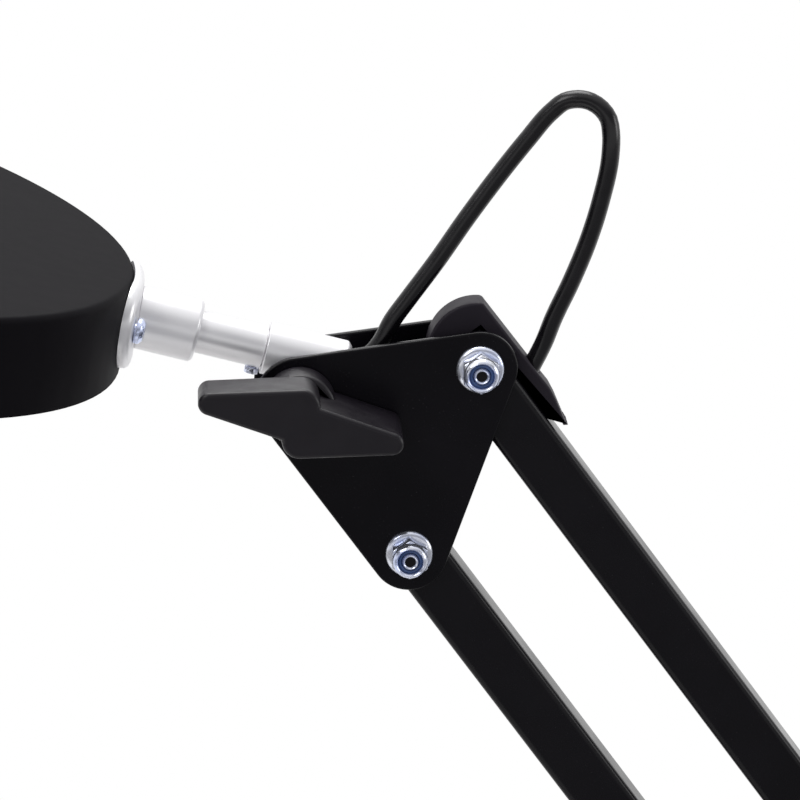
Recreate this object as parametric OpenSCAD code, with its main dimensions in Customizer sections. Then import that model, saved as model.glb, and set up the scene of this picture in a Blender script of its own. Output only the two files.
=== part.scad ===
// Magnifying lamp on a table clamp: two spring-balanced parallelogram arms, a round head with a
// lens and an LED ring, and a low-voltage lead. Millimetres, +Z up. The origin is the middle of the
// clamp's upper contact face, on the axis of the swivel. The arms and brackets lie in the XZ plane.

/* [Clamp] */
// Length of the clamp's upper jaw in front of its spine
jaw_reach = 48; // [40:1:60]
// Width of the clamp across Y
jaw_w = 46; // [36:1:60]
// Thickness of the upper jaw
jaw_t = 8; // [6:1:12]
// Thickness of the clamp's spine
spine_t = 9; // [7:1:14]
// Thickness of the soft pad under the upper jaw
pad_t = 2; // [1.5:0.5:4]
// Distance from the table contact face down to the lower jaw
throat_h = 66; // [60:1:80]
// Thickness of the lower jaw
lower_jaw_t = 12; // [9:1:16]
// Thickness of the table that the clamp is drawn on
table_t = 30; // [16:1:40]
// Diameter of the clamp screw
screw_d = 10; // [8:1:12]
// Diameter of the pressure disc
disc_d = 32; // [24:1:40]
// Length of the clamp screw's cross handle
handle_l = 60; // [44:1:80]
// Width of the clamp screw's cross handle
handle_w = 11; // [9:1:13]
// Height of the boss round the clamp screw
lower_boss_h = 20; // [16:1:26]
// Thickness of the two ribs on the upper jaw
rib_t = 5; // [3:0.5:8]

/* [Swivel] */
// Diameter of the swivel pin
pin_d = 12; // [10:0.5:14]
// Height of the swivel socket above the upper jaw
socket_h = 26; // [20:1:34]
// Outside diameter of the swivel socket
socket_d = 28; // [24:1:34]
// Outside diameter of the bush in the socket
bush_d = 18; // [16:1:20]

/* [Arms] */
// Distance between the two pivots of an arm
arm_l = 400; // [350:5:450]
// Outside width of the square arm tubes
tube_w = 13; // [12:0.5:13]
// Wall of the arm tubes
tube_wall = 1.2; // [0.8:0.1:1.6]
// Corner radius of the arm tubes
tube_r = 1.2; // [0.6:0.1:2]
// Direction of the lower arms above the horizontal
lower_angle = 70; // [60:1:80]
// Direction of the upper arms, measured from +X
upper_angle = 126; // [115:1:135]
// Distance from a pivot to the end of its tube
tube_end = 6.5; // [5:0.5:8]
// Width of the tubes' side that a cord cap's spine covers, measured off the tube
spine_w = 4; // [3:0.1:5]
// Radius of a cord cap's nose
cap_r = 11.4; // [10:0.2:12]
// Width of a cord cap
cap_w = 9; // [8:0.5:12.5]

/* [Brackets] */
// Thickness of the bracket plates
plate_t = 2; // [1.5:0.1:3]
// Clear gap between a bracket's two plates
plate_gap = 14.6; // [14.6:0.1:15.2]
// Thickness of the friction washers
washer_t = 0.7; // [0.4:0.1:0.7]
// Diameter of the pivot bolts
bolt_d = 5; // [4:0.5:6]
// Diameter of the tilt bolt under the wing knob
tilt_bolt_d = 6; // [5:0.5:6]
// Diameter of the flange of the pivot nuts
nut_flange_d = 11; // [10:0.2:12]
// Width across flats of the pivot nuts
nut_af = 8; // [7:0.2:8.5]
// Height of the pivot nuts
nut_h = 7.5; // [5.5:0.1:8]
// Thickness of the bolt heads
bolt_head_t = 3; // [2:0.1:3.5]
// Distance between the elbow's lower and upper main pivots
elbow_rise = 77; // [70:0.5:84]
// Radius of the elbow plates' corners
elbow_lug_r = 10; // [9:0.1:11]
// Radius of the base bracket's corners
base_lug_r = 9.5; // [9:0.1:11]

/* [Wing knobs] */
// Overall length of a wing knob
knob_l = 48; // [40:1:54]
// Height of a wing knob off its plate
knob_h = 21; // [18:0.5:24]
// Diameter of a wing knob's hub
knob_hub_d = 16.5; // [14:0.5:18]

/* [Neck] */
// Tilt of the neck above the horizontal
neck_tilt = 14.6; // [5:0.1:25]
// Height of the neck's axis above the tilt bolt
neck_rise = 8; // [7.5:0.1:9]
// Diameter of the neck holder
holder_d = 12; // [11:0.1:13]
// Diameter of the neck rod between holder and shoulder
rod_d = 9.7; // [8.5:0.1:10.5]
// Diameter of the neck's shoulder
shoulder_d = 14.3; // [12:0.1:15]
// Length of the shoulder
shoulder_l = 13.8; // [9:0.1:18]
// Width of the flange plate across the head's rim
flange_w = 39; // [34:1:44]
// Height of the flange plate
flange_h = 19.4; // [18.4:0.1:19.4]
// Thickness of the flange plate
flange_t = 2.4; // [1.6:0.1:3]

/* [Head] */
// Radius of the head's top face
head_r = 109; // [98:1:116]
// Height of the head's wall
head_h = 21.9; // [20:0.1:28]
// How far the wall leans out from top to bottom
head_flare = 1.7; // [0:0.1:4]
// Thickness of the head's walls
wall_t = 2.4; // [1.8:0.1:3]
// Height of the head's top face above the neck's axis
head_rise = 9.75; // [9:0.05:10.5]
// Diameter of the lens
lens_d = 127; // [120:1:128]
// Radius of curvature of the lens faces
lens_curve = 347; // [300:1:500]
// Thickness of the lens at its edge
lens_edge = 2.6; // [2:0.1:3.4]
// How far the lid reaches past the lens
lid_margin = 0.3; // [0:0.1:1]
// Thickness of the lid
lid_t = 2.8; // [2:0.1:3]
// Width of the lid's hinge between the two ears
hinge_w = 24; // [16:1:30]
// Diameter of the lid's hinge pin
lid_pin_d = 2.5; // [2:0.1:3]
// Diameter of the power button
button_d = 12; // [9:0.5:14]

/* [Cord] */
// Diameter of the low-voltage cord
cord_d = 4.2; // [3.6:0.1:4.2]
// Turns in the spare lead's coil
coil_turns = 11; // [8:1:13]
// Distance between neighbouring turns and layers of the coil
coil_pitch = 4.7; // [4.7:0.1:5]
// Length of the plug-in adapter's body
adapter_l = 66; // [60:1:80]
// Width of the plug-in adapter's body
adapter_w = 42; // [36:1:50]

/* [Hidden] */
$fn = 48;

steel_black = [0.09, 0.08, 0.10];
plastic_black = [0.06, 0.06, 0.07];
plastic_gray = [0.22, 0.21, 0.22];
aluminium = [0.86, 0.86, 0.88];
zinc = [0.72, 0.73, 0.76];
nylon_blue = [0.10, 0.25, 0.62];
nylon_white = [0.90, 0.90, 0.88];
rubber = [0.12, 0.12, 0.12];
cord_colour = [0.10, 0.09, 0.12];
brass = [0.78, 0.66, 0.36];
glass = [0.80, 0.90, 0.92];
board_white = [0.92, 0.94, 0.92];

// Clearances
run_fit = 0.05;
slip = 0.1;
face_gap = 0.2;
through = 20;

// Stations along the clamp and swivel axis
jaw_top = pad_t + jaw_t;
socket_top = jaw_top + socket_h;
bush_low = jaw_top - 4;
pin_low = jaw_top - 2;
jaw_low = -throat_h - lower_jaw_t;
bush_flange_t = 2;
bush_top = socket_top + bush_flange_t;
bridge_z = bush_top + face_gap;
spine_x = jaw_reach / 2;
jaw_tip_x = -jaw_reach / 2;
disc_t = 6;
disc_top = -table_t;
disc_low = disc_top - disc_t - 3;
boss_wall = 6;
boss_d = screw_d + 2 * boss_wall;
boss_rise = 4;
boss_bottom = -throat_h - lower_boss_h + boss_rise;
handle_top = boss_bottom - 28;
handle_h = 16;
disc_lip = 3;
screw_nose_d = screw_d - 3;
jaw_round = 3;
frame_round = 4;
rib_h = 7;

// Pivots in the XZ plane
function at_angle(a) = [cos(a), sin(a)];
base_pair = [-37, 8.5];
head_pair = [-16, -43];
base_main = [18, bridge_z + 26];
base_link = base_main + base_pair;
elbow_main = base_main + arm_l * at_angle(lower_angle);
elbow_link = elbow_main + base_pair;
upper_main = elbow_main + [-2, elbow_rise];
upper_link = upper_main + head_pair;
head_main = upper_main + arm_l * at_angle(upper_angle);
head_link = head_main + head_pair;
tilt_pivot = head_main + [-40.8, -7];
plate_y = plate_gap / 2;
face_y = plate_y + plate_t;
bolt_fit = 0.1;
bolt_end_y = -face_y - nut_h - 0.4;
rear_head_d = 9.5;
washer_d = 12;

// Sections of the tubes: the bolt lies off the middle of a main tube and of a link tube
main_inner = -8;
link_inner = -5.9;

// Neck and head, in stations along the neck from the foot above the tilt bolt
holder_rear = -9.3;
holder_front = 9.8;
shoulder_s = 25.4;
flange_s = shoulder_s + shoulder_l;
rim_s = flange_s + flange_t;
neck_screw_s = 11.6;
neck_screw_d = 2;
spigot_d = 8;
spigot_rear = -5.5;
exit_lift = 1.15;
exit_lean = 17.6;
function wall_r(h) = head_r - h * head_flare / head_h;
head_s = rim_s + wall_r(-head_rise);
foot = tilt_pivot + neck_rise * [sin(neck_tilt), cos(neck_tilt)];
edge_r = 1.6;
lens_seat_r = lens_d / 2;
lens_h = -11;
tube_in = lens_seat_r + 3.7;
aperture_r = lens_seat_r - 3.5;
floor_h = -head_h + 2.6;
lid_r = lens_seat_r + lid_margin;
hinge_r = lid_r + 5.2;
hinge_h = face_gap + 3;
knuckle_r = 2.8;
ear_w = 5;
button_r = (tube_in + head_r) / 2;
button_turn = 35;

// Plane helpers
module along_y(p, r, y0, y1)
    translate([p[0], y0, p[1]]) rotate([-90, 0, 0]) cylinder(r = r, h = y1 - y0);
module slab(y0, y1)
    translate([0, y1, 0]) rotate([90, 0, 0]) linear_extrude(y1 - y0) children();
module on_arm(p, a) translate([p[0], 0, p[1]]) rotate([0, -a, 0]) children();
module on_neck()
    translate([foot[0], 0, foot[1]]) rotate([0, neck_tilt, 0]) rotate([0, 0, 180]) children();
module on_head() on_neck() translate([head_s, 0, head_rise]) children();
module along_neck(r, s0, s1, r1 = -1)
    translate([s0, 0, 0]) rotate([0, 90, 0]) cylinder(r1 = r, r2 = r1 < 0 ? r : r1, h = s1 - s0);

// Rounded shapes built from circles and straight sides
module rounded_rect(w, h, r) {
    square([w - 2 * r, h], center = true);
    square([w, h - 2 * r], center = true);
    for (sx = [-1, 1], sy = [-1, 1])
        translate([sx * (w / 2 - r), sy * (h / 2 - r)]) circle(r, $fn = 24);
}
function side_angle(p, q, rp, rq) =
    atan2(q[1] - p[1], q[0] - p[0]) - acos((rp - rq) / norm(q - p));
module rounded_outline(p, r) {
    n = len(p);
    polygon([for (i = [0 : n - 1]) let (j = (i + 1) % n, a = side_angle(p[i], p[j], r[i], r[j]))
             each [p[i] + r[i] * at_angle(a), p[j] + r[j] * at_angle(a)]]);
    for (i = [0 : n - 1]) translate(p[i]) circle(r[i], $fn = 64);
}
function arc(c, r, a0, a1, n) =
    [for (i = [0 : n]) c + r * at_angle(a0 + (a1 - a0) * i / n)];

// Clamp
module clamp_frame() color(steel_black) {
    difference() {
        union() {
            slab(-jaw_w / 2, jaw_w / 2) union() {
                translate([jaw_tip_x + jaw_round, pad_t])
                    square([jaw_reach + spine_t - jaw_round, jaw_t]);
                translate([jaw_tip_x, pad_t]) square([2 * jaw_round, jaw_t - jaw_round]);
                translate([jaw_tip_x + jaw_round, jaw_top - jaw_round]) circle(jaw_round);
                translate([spine_x, jaw_low + frame_round])
                    square([spine_t, jaw_top - jaw_low - 2 * frame_round]);
                translate([-disc_d / 2, jaw_low])
                    square([disc_d / 2 + spine_x + spine_t - frame_round, lower_jaw_t]);
                translate([spine_x + spine_t - frame_round, jaw_low + frame_round])
                    circle(frame_round);
            }
            translate([0, 0, jaw_top]) cylinder(d = socket_d, h = socket_h);
            translate([0, 0, boss_bottom]) cylinder(d = boss_d, h = lower_boss_h);
            for (sy = [-1, 1])
                translate([0, sy * jaw_w / 4 - rib_t / 2, jaw_top - 0.5])
                    cube([spine_x + spine_t - 2 * jaw_round, rib_t, rib_h + 0.5]);
        }
        translate([0, 0, bush_low]) cylinder(d = bush_d, h = socket_h + through);
        translate([0, 0, boss_bottom - 1]) cylinder(d = screw_d + 2 * run_fit, h = lower_boss_h + 2);
    }
}
module clamp_pad() color(rubber)
    linear_extrude(pad_t) translate([(jaw_tip_x + spine_x) / 2, 0])
        rounded_rect(jaw_reach - 2, jaw_w - 2, 3);
module socket_bush() color(nylon_white) difference() {
    union() {
        translate([0, 0, bush_low]) cylinder(d = bush_d, h = socket_top - bush_low);
        translate([0, 0, socket_top]) cylinder(d = socket_d - 2, h = bush_flange_t);
    }
    translate([0, 0, pin_low]) cylinder(d = pin_d + 2 * run_fit, h = socket_h + through);
}
module pressure_disc() color(plastic_black) difference() {
    union() {
        translate([0, 0, disc_top - disc_lip]) cylinder(d = disc_d, h = disc_lip);
        translate([0, 0, disc_low]) cylinder(d1 = screw_d + 8, d2 = disc_d - 4, h = disc_t);
    }
    translate([0, 0, disc_low - 1]) cylinder(d = screw_nose_d + 2 * run_fit, h = disc_t + 2);
}
module clamp_screw() color(zinc) {
    translate([0, 0, handle_top - 4])
        cylinder(d = screw_d, h = disc_low - face_gap - handle_top + 4);
    translate([0, 0, disc_low - 1]) cylinder(d = screw_nose_d, h = disc_t + 2 - face_gap);
    color(plastic_black) difference() {
        union() {
            translate([0, 0, handle_top - handle_h]) cylinder(d = screw_d + 9, h = handle_h);
            translate([0, 0, handle_top - handle_h + 1]) linear_extrude(handle_h - 3) union() {
                square([handle_l - handle_w, handle_w], center = true);
                for (sx = [-1, 1])
                    translate([sx * (handle_l - handle_w) / 2, 0]) circle(d = handle_w);
            }
        }
        translate([0, 0, handle_top - 4]) cylinder(d = screw_d, h = 10);
    }
}

// Swivel base
base_foot_x = [-22, 25];
foot_round = 3;
seat_pin_d = 8;
grommet_d = 8;
module base_outline()
    rounded_outline([base_main, base_link, [base_foot_x[0], bridge_z + foot_round],
                     [base_foot_x[1], bridge_z + foot_round]],
                    [base_lug_r, base_lug_r, foot_round, foot_round]);
module base_pin() color(zinc) {
    translate([0, 0, pin_low]) cylinder(d = pin_d, h = bridge_z - pin_low);
    translate([0, 0, bridge_z]) cylinder(d = seat_pin_d, h = plate_t + 1.5);
}
module base_bracket() color(steel_black) difference() {
    union() {
        for (y0 = [-face_y, plate_y]) slab(y0, y0 + plate_t) base_outline();
        translate([base_foot_x[0], -face_y + 0.5, bridge_z])
            cube([grommet_x + 7 - base_foot_x[0], 2 * face_y - 1, plate_t]);
    }
    for (p = [base_main, base_link]) along_y(p, bolt_d / 2 + bolt_fit, -through, through);
    translate([0, 0, bridge_z - 1]) cylinder(d = seat_pin_d, h = plate_t + 2);
    translate([grommet_x, 0, bridge_z - 1]) cylinder(d = grommet_d, h = plate_t + 2);
}
grommet_x = 40;
grommet_lip = 1.8;
module lead_grommet() color(rubber) translate([grommet_x, 0, bridge_z]) difference() {
    union() {
        translate([0, 0, -grommet_lip]) cylinder(d = grommet_d + 2.4, h = grommet_lip);
        cylinder(d = grommet_d, h = plate_t);
        translate([0, 0, plate_t]) cylinder(d = grommet_d + 2.4, h = grommet_lip);
    }
    translate([0, 0, -grommet_lip - 1]) cylinder(d = cord_d + 2 * slip, h = plate_t + through);
}

// Bolts, nuts and washers
module pivot_bolt(p, front) {
    along_y(p, bolt_d / 2, front, face_y);
    along_y(p, rear_head_d / 2, face_y, face_y + bolt_head_t - 0.8);
    along_y(p, rear_head_d / 2 - 0.8, face_y, face_y + bolt_head_t);
}
module pivot_nut(p, turn) translate([p[0], -face_y, p[1]]) rotate([90, 0, 0]) difference() {
    union() {
        cylinder(d = nut_flange_d, h = 1.1);
        rotate([0, 0, turn]) cylinder(r = nut_af / 2 / cos(30), h = nut_h - 1.5, $fn = 6);
        cylinder(d = nut_af, h = nut_h - 0.6);
    }
    translate([0, 0, -1]) cylinder(d = bolt_d, h = nut_h + 2);
    translate([0, 0, nut_h - 2]) cylinder(d = nut_af - 1.6, h = 3);
}
module nut_ring(p) translate([p[0], -face_y, p[1]]) rotate([90, 0, 0]) difference() {
    translate([0, 0, nut_h - 2]) cylinder(d = nut_af - 1.6, h = 2);
    translate([0, 0, nut_h - 3]) cylinder(d = bolt_d, h = 4);
}
module washer_pair(p, bore)
    for (y0 = [-plate_y, plate_y - washer_t]) difference() {
        along_y(p, washer_d / 2, y0, y0 + washer_t);
        along_y(p, bore / 2 + bolt_fit, y0 - 1, y0 + washer_t + 1);
    }
module base_bolts() color(zinc) for (p = [base_main, base_link]) pivot_bolt(p, bolt_end_y);
module base_nuts() color(zinc) for (p = [base_main, base_link]) {
    pivot_nut(p, 30);
    nut_ring(p);
}
module base_washers() color(nylon_white) for (p = [base_main, base_link]) washer_pair(p, bolt_d);
elbow_nut_pivots = [elbow_main, elbow_link, upper_link];
module elbow_bolts() color(zinc) {
    for (p = elbow_nut_pivots) pivot_bolt(p, bolt_end_y);
    pivot_bolt(upper_main, -face_y - knob_h + knob_cap_t + 1);
}
module elbow_nuts() color(zinc) for (p = elbow_nut_pivots) {
    pivot_nut(p, 10);
    nut_ring(p);
}
module elbow_washers() color(nylon_white)
    for (p = concat(elbow_nut_pivots, [upper_main])) washer_pair(p, bolt_d);
module head_bolts() color(zinc) for (p = [head_main, head_link]) pivot_bolt(p, bolt_end_y);
module head_nuts() color(zinc) for (p = [head_main, head_link]) pivot_nut(p, 30);
module head_nut_rings() color(nylon_blue) for (p = [head_main, head_link]) nut_ring(p);
module head_washers() color(nylon_white) {
    for (p = [head_main, head_link]) washer_pair(p, bolt_d);
    washer_pair(tilt_pivot, tilt_bolt_d);
}

// Arm tubes: x runs along the arm from its lower pivot, +z is the side that faces the other tube
module tube_body(inner) difference() {
    low = -tube_w - inner;
    translate([-tube_end, 0, low + tube_w / 2]) rotate([90, 0, 90])
        linear_extrude(arm_l + 2 * tube_end) difference() {
            rounded_rect(tube_w, tube_w, tube_r);
            rounded_rect(tube_w - 2 * tube_wall, tube_w - 2 * tube_wall, tube_r / 2);
        }
    for (u = [0, arm_l]) along_y([u, 0], bolt_d / 2 + bolt_fit, -through, through);
}
outer_side = -(tube_w + main_inner);
entry_u = 8.5;
entry_lean = 26.7;
// Straight stretch where the cord goes in through a cap and the wall of a main tube
module cord_entry(d, deep, end)
    translate([end * (arm_l / 2 - entry_u) + arm_l / 2, 0, outer_side - spine_w])
        rotate([0, -end * entry_lean, 0]) translate([0, 0, -6]) cylinder(d = d, h = deep + 6);
module main_tube() difference() {
    tube_body(main_inner);
    for (end = [-1, 1]) cord_entry(cord_d + 0.8, 8, end);
}
// Cord cap over the lower end of a main tube: its nose, and a tail whose tip stands off the tube
cap_tail = [for (p = [[9, 1.1], [14.2, 1.15], [17, 1.05], [20.3, 0.85], [23.6, 0.65], [23.4, 0.57]])
    [p[0], outer_side - p[1] * spine_w]];
module foot_cap() difference() {
    slab(-cap_w / 2, cap_w / 2) difference() {
        union() {
            intersection() {
                translate([-2.4, -1.35]) circle(cap_r, $fn = 72);
                translate([-20, outer_side - spine_w]) square(40);
            }
            polygon(concat([[-8, outer_side + 2], [-10.5, outer_side - spine_w]],
                           cap_tail, [[15.4, outer_side], [9, outer_side + 2]]));
        }
        translate([-tube_end, outer_side]) square([40 + tube_end, tube_w]);
    }
    cord_entry(cord_d + 2 * slip, 8, -1);
}
module head_end_cap()
    translate([arm_l / 2, 0, 0]) mirror([1, 0, 0]) translate([-arm_l / 2, 0, 0]) foot_cap();
module arm_cord() color(cord_colour)
    translate([entry_u + 3, 0, outer_side + tube_wall + cord_d / 2 + face_gap])
        rotate([0, 90, 0]) cylinder(d = cord_d, h = arm_l - 2 * entry_u - 6);
spring_from = 60;
spring_l = 150;
spring_d = 9;
spring_wire_d = 1.6;
spring_pin_d = 3;
spring_hook_l = 25;
spring_pin_u = [spring_from - spring_hook_l, spring_from + spring_l + spring_hook_l];
module link_spring() color(zinc) {
    mid = -(link_inner + tube_w / 2);
    for (u = spring_pin_u)
        along_y([u, mid], spring_pin_d / 2, -tube_w / 2 - 0.8, tube_w / 2 + 0.8);
    translate([spring_pin_u[0], 0, mid]) rotate([0, 90, 0])
        cylinder(d = spring_wire_d, h = spring_hook_l + 5);
    translate([spring_pin_u[1] - spring_hook_l - 5, 0, mid]) rotate([0, 90, 0])
        cylinder(d = spring_wire_d, h = spring_hook_l + 5);
    translate([spring_from, 0, mid]) rotate([0, 90, 0]) difference() {
        cylinder(d = spring_d, h = spring_l);
        translate([0, 0, 2]) cylinder(d = spring_d - 2 * spring_wire_d, h = spring_l - 4);
    }
}
module link_tube() difference() {
    tube_body(link_inner);
    for (u = spring_pin_u)
        along_y([u, -(link_inner + tube_w / 2)], spring_pin_d / 2, -through, through);
}
module lower_arm_tube() color(steel_black) on_arm(base_main, lower_angle) main_tube();
module lower_arm_foot_cap() color(plastic_gray) on_arm(base_main, lower_angle) foot_cap();
module lower_arm_top_cap() color(plastic_gray) on_arm(base_main, lower_angle) head_end_cap();
module lower_arm_cord() on_arm(base_main, lower_angle) arm_cord();
module lower_link_tube() color(steel_black) on_arm(base_link, lower_angle) mirror([0, 0, 1]) link_tube();
module lower_link_spring() on_arm(base_link, lower_angle) mirror([0, 0, 1]) link_spring();
module upper_arm_tube() color(steel_black) on_arm(upper_main, upper_angle) main_tube();
module upper_arm_foot_cap() color(plastic_gray) on_arm(upper_main, upper_angle) foot_cap();
module upper_arm_head_cap() color(plastic_gray) on_arm(upper_main, upper_angle) head_end_cap();
module upper_arm_cord() on_arm(upper_main, upper_angle) arm_cord();
module upper_link_tube() color(steel_black) on_arm(upper_link, upper_angle) link_tube();
module upper_link_spring() on_arm(upper_link, upper_angle) link_spring();

// Elbow and head brackets
module elbow_plate(y0) color(steel_black) difference() {
    slab(y0, y0 + plate_t)
        rounded_outline([elbow_main, upper_main, elbow_link],
                        [elbow_lug_r, elbow_lug_r, base_lug_r]);
    for (p = concat(elbow_nut_pivots, [upper_main]))
        along_y(p, bolt_d / 2 + bolt_fit, -through, through);
}
module elbow_plate_front() elbow_plate(-face_y);
module elbow_plate_rear() elbow_plate(plate_y);
module head_plate(y0) color(steel_black) difference() {
    slab(y0, y0 + plate_t) rounded_outline([head_link, head_main, tilt_pivot], [8.8, 8.5, 10]);
    for (p = [head_main, head_link]) along_y(p, bolt_d / 2 + bolt_fit, -through, through);
    along_y(tilt_pivot, tilt_bolt_d / 2 + bolt_fit, -through, through);
}
module head_plate_front() head_plate(-face_y);
module head_plate_rear() head_plate(plate_y);
module tilt_bolt() color(zinc) {
    along_y(tilt_pivot, tilt_bolt_d / 2, -face_y - knob_h + knob_cap_t + 2, face_y);
    along_y(tilt_pivot, 6.5, face_y, face_y + 1.4);
    along_y(tilt_pivot, 5, face_y, face_y + 2.6);
}

knob_cap_t = 4;
knob_wing_t = 13;
module wing_lobe()
    rounded_outline([[-0.42 * knob_l, 4.8], [0, 0], [0.3, knob_hub_d / 2 - 4.3]], [2.6, 4.9, 4]);
// Wing knob: a hub under two lobes that form an S in front view; the second lobe reaches the plate
module wing(turn, bore) rotate([90, 0, 0]) rotate([0, 0, turn]) difference() {
    union() {
        cylinder(d = knob_hub_d, h = knob_h - knob_wing_t + 1);
        translate([0, 0, knob_h - knob_wing_t]) linear_extrude(knob_wing_t) wing_lobe();
        rotate([0, 0, 180]) linear_extrude(knob_h) wing_lobe();
    }
    translate([0, 0, -1]) cylinder(d = bore, h = knob_h - knob_cap_t + 1);
}
module wing_knob() color(plastic_gray)
    translate([tilt_pivot[0], -face_y - face_gap, tilt_pivot[1]]) wing(0, tilt_bolt_d + 2 * run_fit);
module elbow_knob() color(plastic_gray)
    translate([upper_main[0], -face_y - face_gap, upper_main[1]]) wing(49, bolt_d + 2 * run_fit);

// Neck
module neck_holder() color(aluminium) difference() {
    union() {
        on_neck() {
            along_neck(holder_d / 2 - 1, holder_rear, holder_rear + 1, holder_d / 2);
            along_neck(holder_d / 2, holder_rear + 1, holder_front);
        }
        along_y(tilt_pivot, 7.6, -plate_y + washer_t + face_gap / 2, plate_y - washer_t - face_gap / 2);
    }
    on_neck() along_neck(spigot_d / 2 + run_fit, spigot_rear - face_gap, holder_front + 1);
    on_neck() translate([holder_rear, 0, exit_lift]) rotate([0, 90 + exit_lean, 0])
        translate([0, 0, -3]) cylinder(d = cord_d + 2 * slip, h = 8);
    along_y(tilt_pivot, tilt_bolt_d / 2 + run_fit, -through, through);
}
// The turned rod ends on the sloping, round face of the flange plate
module neck_rod() color(aluminium) difference() {
    on_neck() {
        along_neck(spigot_d / 2, spigot_rear, holder_front + face_gap);
        along_neck(rod_d / 2, holder_front + face_gap, shoulder_s);
        along_neck(shoulder_d / 2 - 0.7, shoulder_s, shoulder_s + 0.7, shoulder_d / 2);
        along_neck(shoulder_d / 2, shoulder_s + 0.7, rim_s);
    }
    on_head() rotate_extrude($fn = 96) polygon([
        [0, 4], [wall_r(4) + flange_t, 4], [wall_r(-head_h) + flange_t, -head_h], [0, -head_h]]);
    on_neck() along_neck(cord_d / 2 + slip, spigot_rear - 1, rim_s + 1);
    on_neck() translate([neck_screw_s, 0, -rod_d]) cylinder(d = neck_screw_d, h = rod_d);
}
module neck_screw() color(plastic_black) on_neck() translate([neck_screw_s, 0, -rod_d / 2]) {
    translate([0, 0, -1.6]) cylinder(d = neck_screw_d + 1.2, h = 1.4);
    translate([0, 0, -0.3]) cylinder(d = neck_screw_d, h = 2.6);
}
// Curved plate that lies on the leaning wall of the head
module neck_flange() color(aluminium) difference() {
    intersection() {
        on_head() rotate([0, 0, 168]) rotate_extrude(angle = 24, $fn = 96) polygon([
            [wall_r(0), 0], [wall_r(0) + flange_t, 0],
            [wall_r(-head_h) + flange_t, -head_h], [wall_r(-head_h), -head_h]]);
        on_neck() translate([flange_s - 1, 0, 0]) rotate([90, 0, 90])
            linear_extrude(10) rounded_rect(flange_w, flange_h, 9);
    }
    on_neck() along_neck(cord_d / 2 + slip, flange_s - 1, rim_s + 5);
    flange_screw_places() cylinder(d = flange_screw_d + 0.1, h = through, center = true);
}
flange_screw_y = 13;
flange_screw_d = 3.1;
module flange_screw_places()
    on_head() for (side = [-1, 1])
        rotate([0, 0, 180 + side * asin(flange_screw_y / wall_r(-head_rise))])
            translate([wall_r(-head_rise) + flange_t, 0, -head_rise]) rotate([0, 90, 0]) children();
module flange_screws() color(plastic_black) flange_screw_places() difference() {
    union() {
        translate([0, 0, 0.3]) cylinder(d = 5.8, h = 1.1);
        translate([0, 0, 1.4]) cylinder(d1 = 5.8, d2 = 4, h = 0.8);
        translate([0, 0, -flange_t - wall_t - 0.6])
            cylinder(d = flange_screw_d, h = flange_t + wall_t + 1.6);
    }
    for (turn = [0, 90]) rotate([0, 0, turn]) translate([-1.5, -0.35, 1.2]) cube([3, 0.7, 2]);
}

// Head, with heights counted down from its top face
module ring(r0, r1, h0, h1) rotate_extrude($fn = 180)
    translate([r0, h0]) square([r1 - r0, h1 - h0]);
module button_place()
    on_head() rotate([0, 0, button_turn]) translate([button_r, 0, 0]) children();
module at_hinge() on_head() translate([hinge_r, 0, hinge_h]) rotate([90, 0, 0]) children();
module head_housing() color(plastic_black) difference() {
    union() {
        on_head() rotate_extrude($fn = 180) polygon(concat(
            [[aperture_r, 0]],
            arc([head_r - edge_r, -edge_r], edge_r, 90, 0, 6),
            [[wall_r(-head_h), -head_h], [wall_r(-head_h) - wall_t, -head_h],
             [head_r - wall_t, -wall_t], [tube_in + wall_t, -wall_t],
             [tube_in + wall_t, floor_h], [tube_in, floor_h], [tube_in, -wall_t],
             [tube_in - 0.8, -wall_t], [tube_in - 0.8, lens_h + gasket_h / 2],
             [tube_in - 3, lens_h + gasket_h / 2],
             [tube_in - 3, -wall_t], [aperture_r, -wall_t]]));
        on_head() for (side = [-1, 1]) translate([hinge_r, 0, 0]) hinge_ear(side);
    }
    button_place() cylinder(d = button_d + 2 * slip, h = through, center = true);
    flange_screw_places() cylinder(d = flange_screw_d + 0.1, h = through, center = true);
    on_neck() along_neck(cord_d / 2 + slip, rim_s - 3, rim_s + 6);
    at_hinge() cylinder(d = lid_pin_d + 2 * run_fit, h = hinge_w + 4 * ear_w, center = true);
}
module hinge_ear(side) translate([0, side * (hinge_w + ear_w) / 2 + side * 0.5 + ear_w / 2, 0])
    rotate([90, 0, 0]) linear_extrude(ear_w) union() {
        translate([0, hinge_h]) circle(knuckle_r);
        translate([-knuckle_r, -0.5]) square([2 * knuckle_r, hinge_h + 0.5]);
    }
module lid() color(plastic_black) difference() {
    union() {
        on_head() translate([0, 0, face_gap]) cylinder(r = lid_r, h = lid_t, $fn = 120);
        at_hinge() cylinder(r = knuckle_r, h = hinge_w, center = true);
        on_head() translate([lid_r - 6, -hinge_w / 2, 2 * face_gap])
            cube([hinge_r - lid_r + 6, hinge_w, lid_t - face_gap]);
    }
    at_hinge() cylinder(d = lid_pin_d, h = hinge_w + through, center = true);
}
module lid_pin() color(zinc) at_hinge()
    cylinder(d = lid_pin_d, h = hinge_w + 2 * ear_w + 1, center = true);
button_flange_t = 2;
module power_button() color(plastic_gray) button_place() {
    translate([0, 0, -4]) cylinder(d = button_d, h = 6);
    translate([0, 0, -wall_t - button_flange_t - 0.3])
        cylinder(d = button_d + 3, h = button_flange_t);
}
gasket_h = 4;
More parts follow.
